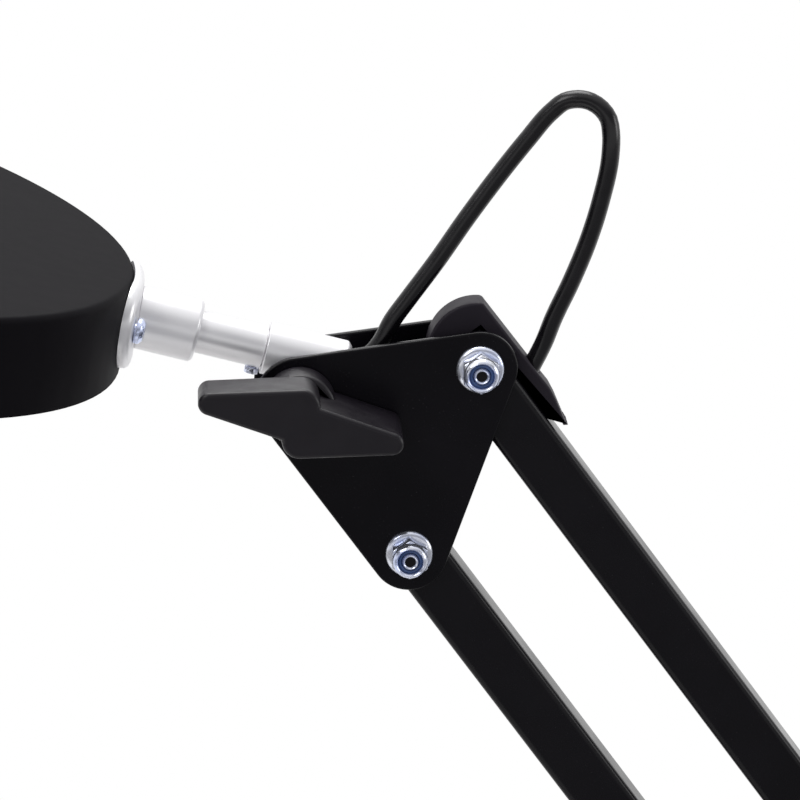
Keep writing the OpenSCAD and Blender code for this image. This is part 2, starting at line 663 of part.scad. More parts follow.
module lens() color(glass) on_head() rotate_extrude($fn = 120) {
    r = lens_d / 2;
    deep = lens_curve - sqrt(lens_curve * lens_curve - r * r);
    half = asin(r / lens_curve);
    polygon(concat(
        arc([0, lens_h + lens_edge / 2 + deep - lens_curve], lens_curve, 90, 90 - half, 12),
        arc([0, lens_h - lens_edge / 2 - deep + lens_curve], lens_curve, half - 90, -90, 12)));
}
module lens_gasket() color(rubber) on_head()
    ring(lens_seat_r + slip, tube_in - slip, lens_h - gasket_h / 2, lens_h + gasket_h / 2);
module lens_retainer() color(plastic_black) on_head() {
    ring(aperture_r, tube_in + wall_t + 3, -head_h + 0.4, floor_h);
    ring(tube_in - 3, tube_in - 0.8, floor_h, lens_h - gasket_h / 2);
}
module bottom_ring() color(plastic_black) on_head()
    ring(head_r - 6, wall_r(floor_h) - wall_t - slip, -head_h + 0.4, floor_h);
module diffuser_ring() color(nylon_white) on_head()
    ring(tube_in + wall_t + slip, head_r - 1.5, floor_h, floor_h + 1.8);
led_count = 40;
led_w = 5;
board_h = -8;
board_t = 1.6;
module led_board() on_head() {
    color(board_white)
        ring(tube_in + wall_t + slip, head_r - wall_t - 0.6, board_h - board_t, board_h);
    color(brass) for (i = [0 : led_count - 1]) rotate([0, 0, i * 360 / led_count])
        translate([(tube_in + head_r) / 2 - 1.6, 0, board_h - board_t - 0.45])
            cube([led_w, led_w, 1], center = true);
}

// Cords: a tube swept along a stretch of its route's points, with rings square to the way it runs
head_cord_route = [
    [-115.3, 0, 840], [-112, 0, 840.2], [-110.2, 0, 840.5], [-108, 0, 841.4], [-106.1, 0, 842.8],
    [-104.6, 0, 844.6], [-101.7, 0.3, 849.9], [-98.3, 0.6, 854.5], [-91.5, 1, 863.6],
    [-85.2, 1.4, 872.7], [-78.5, 1.7, 881.8], [-71.4, 1.6, 890.9], [-65.6, 1, 897.8],
    [-63, 0.5, 899.9], [-60.1, 0, 900.5], [-57.2, -0.6, 900], [-54.9, -1.2, 898.5],
    [-53.3, -1.8, 896.2], [-52.8, -2.2, 893.4], [-52.9, -2.7, 888.2], [-54.9, -2.6, 877.9],
    [-57.6, -2, 868.6], [-61.2, -1.2, 859.2], [-65.4, -0.3, 849.7], [-67.3, 0, 844.6],
    [-70, 0, 839.1], [-72.3, 0, 834.7]];
head_cord_top = 14;
elbow_cord_route = [
    [150.6, 0, 528.4], [155.1, 0, 529.2], [163, 0, 529.8], [172, 0, 526.6], [181.5, 0, 519.2],
    [190, 0, 507], [195.2, 0, 492], [197, 0, 476], [195.8, 0, 461], [191.6, 0, 448],
    [185, 0, 438.4], [177, 0, 432.4], [168, 0, 429.8], [160.4, 0, 429], [155.9, 0, 428.4]];
elbow_cord_middle = 7;
lead_route = [
    [26, 0, 72.7], [29.4, 0, 69.1], [34.2, 0, 62.8], [37.6, 0, 56], [39.5, 0, 48.8], [40, 0, 41],
    [40, 0, 34.5], [40, 2, 28.4], [38.4, 7.2, 22.6], [35, 15, 18], [29.8, 23.6, 14.6],
    [23.4, 31, 11.4], [15.4, 37, 8.2], [6, 41.2, 5], [-4, 43.8, 2.9], [-14, 44.9, 2.1],
    [-24, 45.2, 2.1], [-33, 45.2, 2.1], [-40.8, 45.2, 2.1]];
lead_in_grommet = 5;
function unit(v) = v / norm(v);
function heading(p, i) = unit(p[min(i + 1, len(p) - 1)] - p[max(i - 1, 0)]);
function square_to(v, t) = unit(v - (v * t) * t);
module swept(p, sides, side_on, first, last) {
    n = last - first + 1;
    pts = [for (i = [first : last], k = [0 : sides - 1])
        let (a = 360 * k / sides, t = heading(p, i), v = square_to(side_on, t))
        p[i] + cord_d / 2 * (cos(a) * v + sin(a) * cross(t, v))];
    polyhedron(pts, concat(
        [[for (k = [0 : sides - 1]) k]],
        [for (i = [0 : n - 2], k = [0 : sides - 1])
            let (a = i * sides + k, b = i * sides + (k + 1) % sides)
            each [[b, a, a + sides], [b, a + sides, b + sides]]],
        [[for (k = [sides - 1 : -1 : 0]) (n - 1) * sides + k]]));
}
module free_cord(route, first, last) color(cord_colour)
    swept(route, 8, [0.1, 1, 0.05], first, last);
module head_cord_rear() free_cord(head_cord_route, 0, head_cord_top);
module head_cord_front() free_cord(head_cord_route, head_cord_top, len(head_cord_route) - 1);
module elbow_cord_upper() free_cord(elbow_cord_route, 0, elbow_cord_middle);
module elbow_cord_lower() free_cord(elbow_cord_route, elbow_cord_middle, len(elbow_cord_route) - 1);
module base_cord() free_cord(lead_route, 0, lead_in_grommet);
module lead() color(cord_colour)
    swept(lead_route, 8, [0.6, 0.2, 0.05], lead_in_grommet, len(lead_route) - 1);

// Spare lead: turns that spiral in and out again, a layer higher after each half turn of reversal
coil_layers = 4;
layer_turns = coil_turns / coil_layers;
coil_mean_r = 23.4;
coil_out_r = coil_mean_r + layer_turns * coil_pitch / 2;
coil_start = lead_route[len(lead_route) - 1] - [cord_d, 0, 0];
coil_middle = coil_start + [0, coil_out_r, 0];
rings_per_turn = 24;
function coil_radius(turns) =
    let (part = turns / layer_turns, layer = floor(part), along = part - layer)
    coil_out_r - layer_turns * coil_pitch * (layer % 2 == 0 ? along : 1 - along);
function coil_height(turns) =
    let (near = round(turns / layer_turns), past = turns - near * layer_turns)
    near < 1 || near >= coil_layers ? floor(turns / layer_turns - 0.001) + (turns == 0 ? 1 : 0)
    : abs(past) < 0.25 ? near - 0.5 + 2 * past
    : past < 0 ? near - 1 : near;
function coil_place(turns) =
    let (a = -90 - 360 * turns, r = coil_radius(min(turns, coil_turns - 0.0001)))
    [coil_middle[0] + r * cos(a), coil_middle[1] + r * sin(a),
     coil_start[2] + coil_pitch * max(0, coil_height(min(turns, coil_turns - 0.0001)))];
coil_end_z = coil_start[2] + coil_pitch * (coil_layers - 1);
coil_turn_points = [for (i = [0 : coil_turns * rings_per_turn]) coil_place(i / rings_per_turn)];
coil_route = concat([coil_start + [cord_d, 0, 0]], coil_turn_points,
                    [coil_start + [-cord_d, 0, coil_end_z - coil_start[2]]]);
function least_gap(p, apart) = min([for (i = [0 : len(p) - 1 - apart])
    min([for (j = [i + apart : len(p) - 1]) norm(p[i] - p[j])])]);
module lead_coil() {
    echo(coil_gap = least_gap(coil_route, rings_per_turn / 2) - cord_d);
    color(cord_colour) swept(coil_route, 6, [0, 0, 1], 0, len(coil_route) - 1);
}

// Plug-in adapter lying on its back, its strain relief in line with the coil's last turn
adapter_relief_l = 28;
adapter_h = 2 * coil_end_z;
adapter_front = coil_start[0] - cord_d - adapter_relief_l;
pin_gap = 12.7;
module adapter() {
    color(plastic_black) {
        translate([adapter_front - adapter_l / 2, coil_start[1], 0])
            linear_extrude(adapter_h) rounded_rect(adapter_l, adapter_w, 5);
        translate([adapter_front, coil_start[1], coil_end_z]) rotate([0, 90, 0])
            cylinder(d1 = 2.4 * cord_d, d2 = 1.3 * cord_d, h = adapter_relief_l);
    }
    color(brass) for (side = [-1, 1])
        translate([adapter_front - adapter_l + 14, coil_start[1] + side * pin_gap / 2, adapter_h - 0.5])
            translate([-3.2, -0.75, 0]) cube([6.4, 1.5, 17]);
}

clamp_frame();
clamp_pad();
socket_bush();
pressure_disc();
clamp_screw();
base_pin();
base_bracket();
base_bolts();
base_nuts();
base_washers();
lead_grommet();
lower_arm_tube();
lower_arm_foot_cap();
lower_arm_top_cap();
lower_arm_cord();
lower_link_tube();
lower_link_spring();
elbow_plate_front();
elbow_plate_rear();
elbow_bolts();
elbow_nuts();
elbow_washers();
elbow_knob();
upper_arm_tube();
upper_arm_foot_cap();
upper_arm_head_cap();
upper_arm_cord();
upper_link_tube();
upper_link_spring();
head_plate_front();
head_plate_rear();
head_bolts();
head_nuts();
head_nut_rings();
head_washers();
tilt_bolt();
wing_knob();
neck_holder();
neck_rod();
neck_screw();
neck_flange();
flange_screws();
head_housing();
bottom_ring();
lens();
lens_gasket();
lens_retainer();
led_board();
diffuser_ring();
power_button();
lid();
lid_pin();
head_cord_rear();
head_cord_front();
elbow_cord_upper();
elbow_cord_lower();
base_cord();
lead();
lead_coil();
adapter();
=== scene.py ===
"""Magnifying lamp on a table clamp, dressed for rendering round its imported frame.

Lengths are worked out in millimetres, in each piece's own frame, and become metres when it is
placed.
"""
import math
from types import SimpleNamespace

import bmesh
import bpy
from bpy.props import FloatProperty, FloatVectorProperty, IntProperty, PointerProperty
from bpy.types import Operator, Panel, PropertyGroup
from mathutils import Matrix, Vector


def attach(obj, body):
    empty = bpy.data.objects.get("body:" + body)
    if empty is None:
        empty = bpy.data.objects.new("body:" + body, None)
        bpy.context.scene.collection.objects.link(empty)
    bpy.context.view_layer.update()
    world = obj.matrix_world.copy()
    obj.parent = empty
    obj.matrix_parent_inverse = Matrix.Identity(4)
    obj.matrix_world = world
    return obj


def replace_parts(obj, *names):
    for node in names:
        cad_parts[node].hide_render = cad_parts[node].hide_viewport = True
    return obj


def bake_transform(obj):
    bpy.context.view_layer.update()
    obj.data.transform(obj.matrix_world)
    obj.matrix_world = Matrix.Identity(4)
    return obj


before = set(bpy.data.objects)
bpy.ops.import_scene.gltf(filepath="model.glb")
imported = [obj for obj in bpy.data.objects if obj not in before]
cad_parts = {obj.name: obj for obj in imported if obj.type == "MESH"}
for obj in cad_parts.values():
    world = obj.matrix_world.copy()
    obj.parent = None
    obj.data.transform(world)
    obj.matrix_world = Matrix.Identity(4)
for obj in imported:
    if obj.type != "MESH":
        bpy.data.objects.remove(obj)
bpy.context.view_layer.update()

bl_info = {
    "name": "Clamp Magnifying Lamp",
    "version": (1, 0, 0),
    "blender": (4, 5, 0),
    "location": "View3D > Sidebar > Magnifying Lamp",
    "description": "Dresses the packed frame of a magnifying lamp on a table clamp",
    "category": "Add Mesh",
}

MM = 0.001
FULL_TURN = 2 * math.pi

# Points this close merge, in made meshes and in copies of CAD nodes
WELD = 0.0005
CAD_WELD = 0.002

# Angles between two faces, for joining them, shading across them and rounding their edge
FLAT_BELOW = math.radians(0.6)
SMOOTH_BELOW = math.radians(48)
SHARP_ABOVE = math.radians(30)


def along(angle, reach):
    """A step of two coordinates, at an angle in degrees from the first one's axis."""
    return Vector((math.cos(math.radians(angle)), math.sin(math.radians(angle)))) * reach


# Sizes and places of the frame, in millimetres and degrees

# An arm from pivot to pivot, its tubes' ends past them and their corners inside
ARM = 400
TUBE_END = 6.5
TUBE_INNER_ROUND = 0.6
LOWER_ANGLE = 70
UPPER_ANGLE = 126

# Pivots of the main tubes and of the link tubes, as (x, z)
BASE_MAIN = Vector((18, 64.2))
BASE_LINK = Vector((-19, 72.7))
ELBOW_MAIN = BASE_MAIN + along(LOWER_ANGLE, ARM)
ELBOW_LINK = BASE_LINK + along(LOWER_ANGLE, ARM)
UPPER_MAIN = ELBOW_MAIN + Vector((-2, 77))
UPPER_LINK = ELBOW_MAIN + Vector((-18, 34))
HEAD_MAIN = UPPER_MAIN + along(UPPER_ANGLE, ARM)
HEAD_LINK = UPPER_LINK + along(UPPER_ANGLE, ARM)

# Inner and outer faces of the bracket plates, from the arms' plane
PLATE_Y = 7.3
FACE_Y = 9.3

# Nuts on those faces, and how far the tips of bolts stand past them
NUT_ACROSS_FLATS = 8
BOLT_TIP = 7.6
KNOB_BOLT_TIP = 14

# The neck's axis starts off its pivot; the head's top face lies this far along and above it
NECK_TILT = 14.6
NECK_OFFSET = 8
TILT_PIVOT = HEAD_MAIN + Vector((-40.8, -7))
NECK_FOOT = TILT_PIVOT + along(90 - NECK_TILT, NECK_OFFSET)
HEAD_STATION = 151.357
HEAD_RISE = 9.75

# How far the head's wall leans in over each millimetre of height
WALL_LEAN = 0.0776

# The table slab, its edge a hair off the clamp's spine
TABLE_EDGE_X = 23.8
TABLE_THICK = 30
TABLE_DEPTH = 1500
TABLE_WIDTH = 2400

# The adapter, lying on the table with its prongs up
ADAPTER_SIZE = (66, 42, 32.4)
ADAPTER_PLACE = (-110.2, 45.2, 0)
PRONG_SPACING = 12.7

# The camera, in metres
CAMERA_PLACE = (-0.144, -1.064, 1.107)
CAMERA_AIM = (-0.1, 0, 0.8313)
CAMERA_LENS = 217.8


# Sizes and colours that a user may change

def length(name, description, value):
    """A length property, given in millimetres and kept in metres."""
    return FloatProperty(name=name, description=description, default=value * MM, min=0,
                         subtype="DISTANCE", unit="LENGTH")


def tint(name, description, red, green, blue):
    """A colour property, given as a screen colour from 0 to 255 and kept linear."""
    linear = [(c / 255 / 12.92 if c < 11 else ((c / 255 + 0.055) / 1.055) ** 2.4)
              for c in (red, green, blue)]
    return FloatVectorProperty(name=name, description=description, default=linear, size=3,
                               min=0, max=1, subtype="COLOR")


class LampArmSizes(PropertyGroup):
    tube_width: length("Tube width", "Outside width of the square arm tubes", 13)
    tube_wall: length("Tube wall", "Wall of the arm tubes", 1.2)
    tube_round: length("Tube corner", "Outside corner radius of the arm tubes", 1.7)
    plate_edge: length("Plate edge", "Radius on the edges of the bracket plates", 0.5)
    cap_edge: length("Cap edge", "Radius on the edges of the cord caps", 0.7)
    knob_edge: length("Knob edge", "Radius on the edges of the wing knobs", 1.0)
    cord_width: length("Cord diameter", "Diameter of the low-voltage cord", 4.2)


class LampHeadSizes(PropertyGroup):
    head_radius: length("Head radius", "Radius of the head's top face", 109)
    head_wall: length("Head wall", "Thickness of the head's walls", 2.4)
    lens_width: length("Lens diameter", "Diameter of the lens", 127)
    led_width: length("LED width", "Width of each LED's square body", 5)
    led_count: IntProperty(name="LEDs", description="LEDs on the ring-shaped board", default=40,
                           min=1)
    shell_edge: length("Shell edge", "Radius on the edges of the head's shell", 0.3)
    lid_edge: length("Lid edge", "Radius on the edges of the lid and the power button", 0.5)
    neck_edge: length("Neck edge", "Radius on the edges of the neck's turned pieces", 0.25)
    flange_edge: length("Flange edge", "Radius on the front edge of the neck's flange", 1.7)


class LampClampSizes(PropertyGroup):
    frame_edge: length("Casting edge", "Radius on the edges of the clamp frame", 0.8)
    screw_width: length("Screw diameter", "Diameter of the clamp screw over its thread", 10)
    thread_pitch: length("Thread pitch", "Pitch of the clamp screw", 2)
    handle_length: length("Handle length", "Length of the clamp screw's cross handle", 60)
    coil_turns: IntProperty(name="Coil turns", description="Turns of the spare lead's coil",
                            default=11, min=1)


class LampColours(PropertyGroup):
    steel: tint("Black steel", "Enamel on tubes, plates and clamp", 12, 10, 15)
    cap: tint("Cap plastic", "Plastic of the cord caps", 42, 38, 45)
    knob: tint("Knob plastic", "Plastic of the wing knobs and the handle", 20, 16, 23)
    shell: tint("Shell plastic", "Plastic of the head", 8, 6, 11)
    aluminium: tint("Aluminium", "Bare metal of the neck", 248, 247, 249)
    zinc: tint("Zinc", "Plating of bolts, nuts and the clamp screw", 234, 236, 244)
    blue_nylon: tint("Blue nylon", "Locking rings of the nuts", 60, 86, 136)
    white_nylon: tint("White nylon", "Bush, washers and diffuser", 226, 226, 220)
    # Colour of the dark discs in the dimples of the bolts' tips, which are painted shade
    black_screw: tint("Black screws", "Dark discs painted as the shade in the bolts' dimples", 20, 18, 20)
    rubber: tint("Rubber", "Pad, grommet and gasket", 30, 29, 30)
    cord: tint("Cord", "Sleeve of the cord", 14, 12, 16)
    glass: tint("Glass", "Lens", 236, 246, 246)
    board: tint("Board", "Circuit board under the LEDs", 226, 232, 226)
    phosphor: tint("Phosphor", "Face of the LEDs", 232, 205, 96)
    brass: tint("Prongs", "Prongs of the adapter", 196, 172, 110)
    floor: tint("Floor", "Pale floor slab whose edge the clamp grips", 232, 230, 227)


def millimetres(group):
    """The group's values as plain numbers, lengths in millimetres."""
    read = {}
    for name, prop in group.bl_rna.properties.items():
        if prop.type == "FLOAT" and prop.subtype == "DISTANCE":
            read[name] = getattr(group, name) / MM
        elif prop.type == "INT":
            read[name] = getattr(group, name)
    return SimpleNamespace(**read)


# Shader maths

class Wire:
    """A socket in a shader tree, so that shader maths reads as arithmetic."""

    def __init__(self, shader, socket):
        self.shader = shader
        self.socket = socket

    def _math(self, operation, other):
        return self.shader.node("ShaderNodeMath", {"operation": operation}, {0: self, 1: other})

    def __add__(self, other):
        return self._math("ADD", other)

    def __mul__(self, other):
        return self._math("MULTIPLY", other)

    def __gt__(self, other):
        return self._math("GREATER_THAN", other)

    def __lt__(self, other):
        return self._math("LESS_THAN", other)

    __radd__ = __add__
    __rmul__ = __mul__


class Shader:
    """A node tree under construction, for a material or the world."""

    def __init__(self, tree):
        self.tree = tree
        tree.nodes.clear()

    def node(self, kind, settings=None, values=None, output=0):
        """Adds a node: its settings first, then its sockets' values or links."""
        made = self.tree.nodes.new(kind)
        for key, value in (settings or {}).items():
            setattr(made, key, value)
        for key, value in (values or {}).items():
            if isinstance(value, Wire):
                self.tree.links.new(value.socket, made.inputs[key])
            elif made.inputs[key].type == "RGBA" and len(value) == 3:
                made.inputs[key].default_value = (*value, 1)
            else:
                made.inputs[key].default_value = value
        return Wire(self, made.outputs[output]) if made.outputs else None

    def place(self, stretch=(1, 1, 1), turn=(0, 0, 0)):
        """Object coordinates, stretched or turned for a pattern."""
        where = self.node("ShaderNodeTexCoord", output="Object")
        return self.node("ShaderNodeMapping", values={"Vector": where, "Scale": stretch,
                                                      "Rotation": turn})

    def noise(self, scale, detail, where=None):
        """Noise from 0 to 1, with features of about 1 / scale metres."""
        return self.node("ShaderNodeTexNoise", values={
            "Vector": where or self.place(), "Scale": scale, "Detail": detail})

    def spread(self, value, low, high, start=0.35, end=0.65):
        """Maps a value's middle range to low ... high."""
        return self.node("ShaderNodeMapRange", {"clamp": True}, {
            0: value, 1: start, 2: end, 3: low, 4: high})

    def rays(self, *kinds):
        """1 for rays of those kinds and 0 for others."""
        path = [self.node("ShaderNodeLightPath", output=f"Is {kind} Ray") for kind in kinds]
        return self.node("ShaderNodeClamp", values={0: sum(path[1:], path[0])})

    def blend(self, share, first, second):
        """Mixes two colours."""
        return self.node("ShaderNodeMix", {"data_type": "RGBA"},
                         {0: share, 6: first, 7: second}, output=2)

    def bump(self, height, strength, depth):
        """A normal raised by height, with its depth in millimetres."""
        return self.node("ShaderNodeBump", values={
            "Height": height, "Strength": strength, "Distance": depth * MM})

    def surface(self, **values):
        """Ends a material in one principled shader; underscores stand for spaces."""
        body = self.node("ShaderNodeBsdfPrincipled",
                         values={key.replace("_", " "): value for key, value in values.items()})
        self.node("ShaderNodeOutputMaterial", values={"Surface": body})


def darker(colour, share):
    """A colour scaled towards black, or past 1 towards white."""
    return tuple(min(1, c * share) for c in colour)


def enamelled_steel(sh, colour, gloss=0.2):
    """Glossy black enamel: faint orange peel, a few dust specks, hazy patches."""
    haze = sh.noise(45, 3)
    specks = sh.noise(2600, 1) > 0.76
    base = sh.blend(sh.spread(haze, 0, 1), darker(colour, 0.85), darker(colour, 1.2))
    base = sh.blend(specks * 0.16, base, (0.16, 0.15, 0.16))
    peel = sh.bump(sh.noise(750, 2), 0.12, 0.05)
    sh.surface(Base_Color=base, Roughness=sh.spread(haze, 0.2, 0.3) + specks * 0.2, Normal=peel,
               Specular_IOR_Level=gloss)


def moulded_plastic(sh, colour, roughness, grain, gloss=0.4, wear=1):
    """Moulded plastic: fine spark grain, slight flow marks and rubbed patches."""
    flow = sh.noise(90, 3)
    rubbed = sh.noise(240, 4)
    base = sh.blend(sh.spread(flow, 0, 1), darker(colour, 0.93), darker(colour, 1.08))
    fine = sh.bump(sh.noise(2600, 3), grain, 0.08)
    sh.surface(Base_Color=base, Normal=fine, Specular_IOR_Level=gloss,
               Roughness=sh.spread(rubbed, roughness - 0.03 * wear, roughness + 0.04 * wear))


def turned_metal(sh, colour):
    """Satin turned aluminium: fine tool lines round the neck's axis and a little tarnish."""
    tool = sh.noise(1500, 1, sh.place((1, 0.05, 0.05), (0, math.radians(-NECK_TILT), 0)))
    tarnish = sh.noise(70, 4)
    base = sh.blend(sh.spread(tarnish, 0, 1), darker(colour, 0.97), colour)
    sh.surface(Base_Color=base, Metallic=0.45, Normal=sh.bump(tool, 0.04, 0.02),
               Roughness=sh.spread(tarnish, 0.3, 0.36))


def plated_metal(sh, colour):
    """Zinc plating: soft spangle, a bluish cast in patches, fine handling marks."""
    spangle = sh.noise(420, 3)
    cast = sh.blend(sh.spread(sh.noise(160, 2), 0, 1), colour,
                    (colour[0] * 0.8, colour[1] * 0.86, min(1, colour[2] * 1.05)))
    marks = sh.noise(500, 5, sh.place((1, 6, 1), (0.3, 0.2, 0.7)))
    sh.surface(Base_Color=cast, Metallic=0.85, Normal=sh.bump(marks, 0.06, 0.04),
               Roughness=sh.spread(spangle, 0.14, 0.26))


def soft_rubber(sh, colour):
    """Matt rubber with a dusty bloom."""
    bloom = sh.noise(220, 4)
    base = sh.blend(sh.spread(bloom, 0, 0.3), colour, (0.09, 0.09, 0.09))
    sh.surface(Base_Color=base, Normal=sh.bump(sh.noise(1800, 2), 0.2, 0.08),
               Roughness=sh.spread(bloom, 0.62, 0.8), Specular_IOR_Level=0.3)


def cord_sleeve(sh, colour):
    """Satin sleeve of a thin cord, with slight ripples from its drawing."""
    dust = sh.noise(240, 4)
    base = sh.blend(sh.spread(dust, 0, 1), darker(colour, 0.82), darker(colour, 1.15))
    ripple = sh.bump(sh.noise(330, 2), 0.12, 0.12)
    sh.surface(Base_Color=base, Normal=ripple, Roughness=sh.spread(dust, 0.18, 0.26),
               Specular_IOR_Level=0.4)


def clear_lens(sh, colour):
    """Clear glass with faint smears."""
    smear = sh.noise(60, 4)
    sh.surface(Base_Color=sh.blend(smear, colour, darker(colour, 0.97)), Transmission_Weight=1.0,
               Roughness=sh.spread(smear, 0.01, 0.03), IOR=1.52)


def frosted_cover(sh, colour):
    """Frosted plastic that lets the LEDs behind it show as soft spots."""
    frost = sh.noise(900, 3)
    sh.surface(Base_Color=sh.blend(frost, colour, darker(colour, 0.97)), IOR=1.45,
               Transmission_Weight=0.6, Roughness=sh.spread(frost, 0.32, 0.42),
               Normal=sh.bump(frost, 0.08, 0.04))


def circuit_board(sh, colour):
    """White solder mask with faint tracks under it."""
    tracks = sh.spread(sh.noise(260, 0), 0, 1, 0.5, 0.52)
    sh.surface(Base_Color=sh.blend(tracks, colour, darker(colour, 0.8)),
               Normal=sh.bump(tracks, 0.25, 0.04), Roughness=sh.spread(tracks, 0.34, 0.46))


def pale_floor(sh, colour):
    """Pale satin laminate that goes over to plain white, as seen, away from the lamp."""
    cloud = sh.noise(9, 4)
    slab = sh.node("ShaderNodeBsdfPrincipled", values={
        "Base Color": sh.blend(cloud, darker(colour, 0.97), darker(colour, 1.03)),
        "Roughness": sh.spread(cloud, 0.5, 0.6)})
    white = sh.node("ShaderNodeEmission", values={"Color": (1, 1, 1)})
    away = sh.node("ShaderNodeVectorMath", {"operation": "LENGTH"}, {0: sh.place()}, "Value")
    share = sh.spread(away, 0, 1, 0.5, 1.0) * sh.rays("Camera", "Glossy", "Transmission")
    mixed = sh.node("ShaderNodeMixShader", values={0: share, 1: slab, 2: white})
    sh.node("ShaderNodeOutputMaterial", values={"Surface": mixed})


# Each finish's slot, the function that makes it, its colour and its looks
FINISHES = {
    "tube enamel": ("black_steel", enamelled_steel, "steel"),
    "plate enamel": ("black_steel", enamelled_steel, "steel", 0.15),
    "cap plastic": ("gray_plastic", moulded_plastic, "cap", 0.5, 0.07, 0.12),
    "knob plastic": ("gray_plastic", moulded_plastic, "knob", 0.36, 0.07, 0.36),
    "shell plastic": ("head_shell", moulded_plastic, "shell", 0.58, 0.01, 0.04, 0.15),
    "black plastic": ("black_plastic", moulded_plastic, "cap", 0.46, 0.12, 0.2),
    "neck metal": ("neck_metal", turned_metal, "aluminium"),
    "zinc": ("zinc_steel", plated_metal, "zinc"),
    "brass": (None, plated_metal, "brass"),
    # Painted shade: the dark discs in the dimples of the bolts' tips
    "black screws": ("black_screws", enamelled_steel, "black_screw"),
    "blue nylon": ("blue_nylon", moulded_plastic, "blue_nylon", 0.2, 0.03, 0.5),
    "white nylon": ("white_nylon", moulded_plastic, "white_nylon", 0.4, 0.08),
    "soft rubber": ("rubber", soft_rubber, "rubber"),
    "cord sleeve": ("cord", cord_sleeve, "cord"),
    "lens glass": ("lens_glass", clear_lens, "glass"),
    "frosted cover": ("diffuser", frosted_cover, "white_nylon"),
    "solder mask": ("board", circuit_board, "board"),
    "phosphor": (None, moulded_plastic, "phosphor", 0.3, 0.05),
    "floor": (None, pale_floor, "floor"),
}


def finish(name):
    """The material of that name, made on first use."""
    if name not in bpy.data.materials:
        make, colour, *looks = FINISHES[name][1:]
        material = bpy.data.materials.new(name)
        material.use_nodes = True
        make(Shader(material.node_tree), getattr(bpy.context.scene.lamp_colours, colour), *looks)
    return bpy.data.materials[name]


# Where a piece's own frame stands

def at_pivot(pivot, y=0):
    """At a pivot and a distance from the arms' plane."""
    return Matrix.Translation((pivot[0], y, pivot[1]))


def facing_front(pivot, y):
    """At a pivot, with z towards the front and y up."""
    return at_pivot(pivot, y) @ Matrix.Rotation(math.pi / 2, 4, "X")


def on_arm(pivot, angle):
    """At an arm's lower pivot, with x along the arm."""
    return at_pivot(pivot) @ Matrix.Rotation(-math.radians(angle), 4, "Y")


def on_head():
    """At the middle of the head's top face, with x away from the neck."""
    return (at_pivot(NECK_FOOT) @ Matrix.Rotation(math.radians(NECK_TILT), 4, "Y")
            @ Matrix.Rotation(math.pi, 4, "Z")
            @ Matrix.Translation((HEAD_STATION, 0, HEAD_RISE)))


# Mesh helpers

def new_object(name, data):
    """An object in the scene's collection."""
    made = bpy.data.objects.new(name, data)
    bpy.context.scene.collection.objects.link(made)
    return made


def put(bm, name, finishes, body=None, where=None, merge=True):
    """Turns a bmesh in millimetres into a piece on a body, with its finishes as materials."""
    if merge:
        bmesh.ops.remove_doubles(bm, verts=bm.verts, dist=WELD)
    bmesh.ops.transform(bm, matrix=Matrix.Scale(MM, 4) @ (where or Matrix()), verts=bm.verts)
    for face in bm.faces:
        face.smooth = True
    for edge in bm.edges:
        if len(edge.link_faces) == 2:
            edge.smooth = edge.calc_face_angle(0) < SMOOTH_BELOW
    mesh = bpy.data.meshes.new(name)
    bm.to_mesh(mesh)
    bm.free()
    for one in finishes:
        mesh.materials.append(finish(one))
    piece = new_object(name, mesh)
    flat = piece.modifiers.new("keep flat faces flat", "WEIGHTED_NORMAL")
    flat.keep_sharp = True
    if body:
        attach(piece, body)
    return piece


def dress(bm, node, finishes, body, where=None, merge=True):
    """Turns a bmesh into the piece that stands in for a CAD node."""
    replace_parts(put(bm, node + "_dressed", finishes, body, where, merge), node)


def join(target, part, where=None, material=0):
    """Adds one bmesh to another, moved into place."""
    bmesh.ops.transform(part, matrix=where or Matrix(), verts=part.verts)
    for face in part.faces:
        face.material_index = material
    mesh = bpy.data.meshes.new("part")
    part.to_mesh(mesh)
    part.free()
    target.from_mesh(mesh)
    bpy.data.meshes.remove(mesh)


def sharp(bm):
    """Edges whose two faces meet at a clear angle."""
    return [edge for edge in bm.edges if edge.calc_face_angle(0) > SHARP_ABOVE]


def rounded(bm, radius, segments=2, edges=None):
    """Bevels the given edges, or every sharp one that stands out."""
    if edges is None:
        edges = [edge for edge in sharp(bm) if edge.is_convex]
    bmesh.ops.bevel(bm, geom=edges, offset=radius, offset_type="OFFSET", segments=segments,
                    profile=0.5, affect="EDGES", material=-1, clamp_overlap=False)
    return bm


def chain(bm, places, closed=False):
    """Points joined in a row, and their edges."""
    points = [bm.verts.new(place) for place in places]
    ahead = points[1:] + points[:1] if closed else points[1:]
    return points, [bm.edges.new(pair) for pair in zip(points, ahead)]


def turned(profile, steps, closed=False):
    """Turns a profile of (radius, height) round z, in a number of steps."""
    bm = bmesh.new()
    points, edges = chain(bm, [(r, 0, h) for r, h in profile], closed)
    bmesh.ops.spin(bm, geom=points + edges, cent=(0, 0, 0), axis=(0, 0, 1), angle=FULL_TURN,
                   steps=steps, use_merge=True)
    bmesh.ops.remove_doubles(bm, verts=bm.verts, dist=WELD)
    bmesh.ops.recalc_face_normals(bm, faces=bm.faces)
    return bm


def extruded(bm, faces, step):
    """Extrudes faces by a step into a closed solid."""
    made = bmesh.ops.extrude_face_region(bm, geom=faces)["geom"]
    bmesh.ops.translate(bm, vec=step,
                        verts=[g for g in made if isinstance(g, bmesh.types.BMVert)])
    bmesh.ops.recalc_face_normals(bm, faces=bm.faces)
    return bm


def prism(outline, low, high):
    """A straight extrusion of an (x, y) outline from low to high."""
    bm = bmesh.new()
    face = bm.faces.new([bm.verts.new((x, y, low)) for x, y in outline])
    return extruded(bm, [face], (0, 0, high - low))


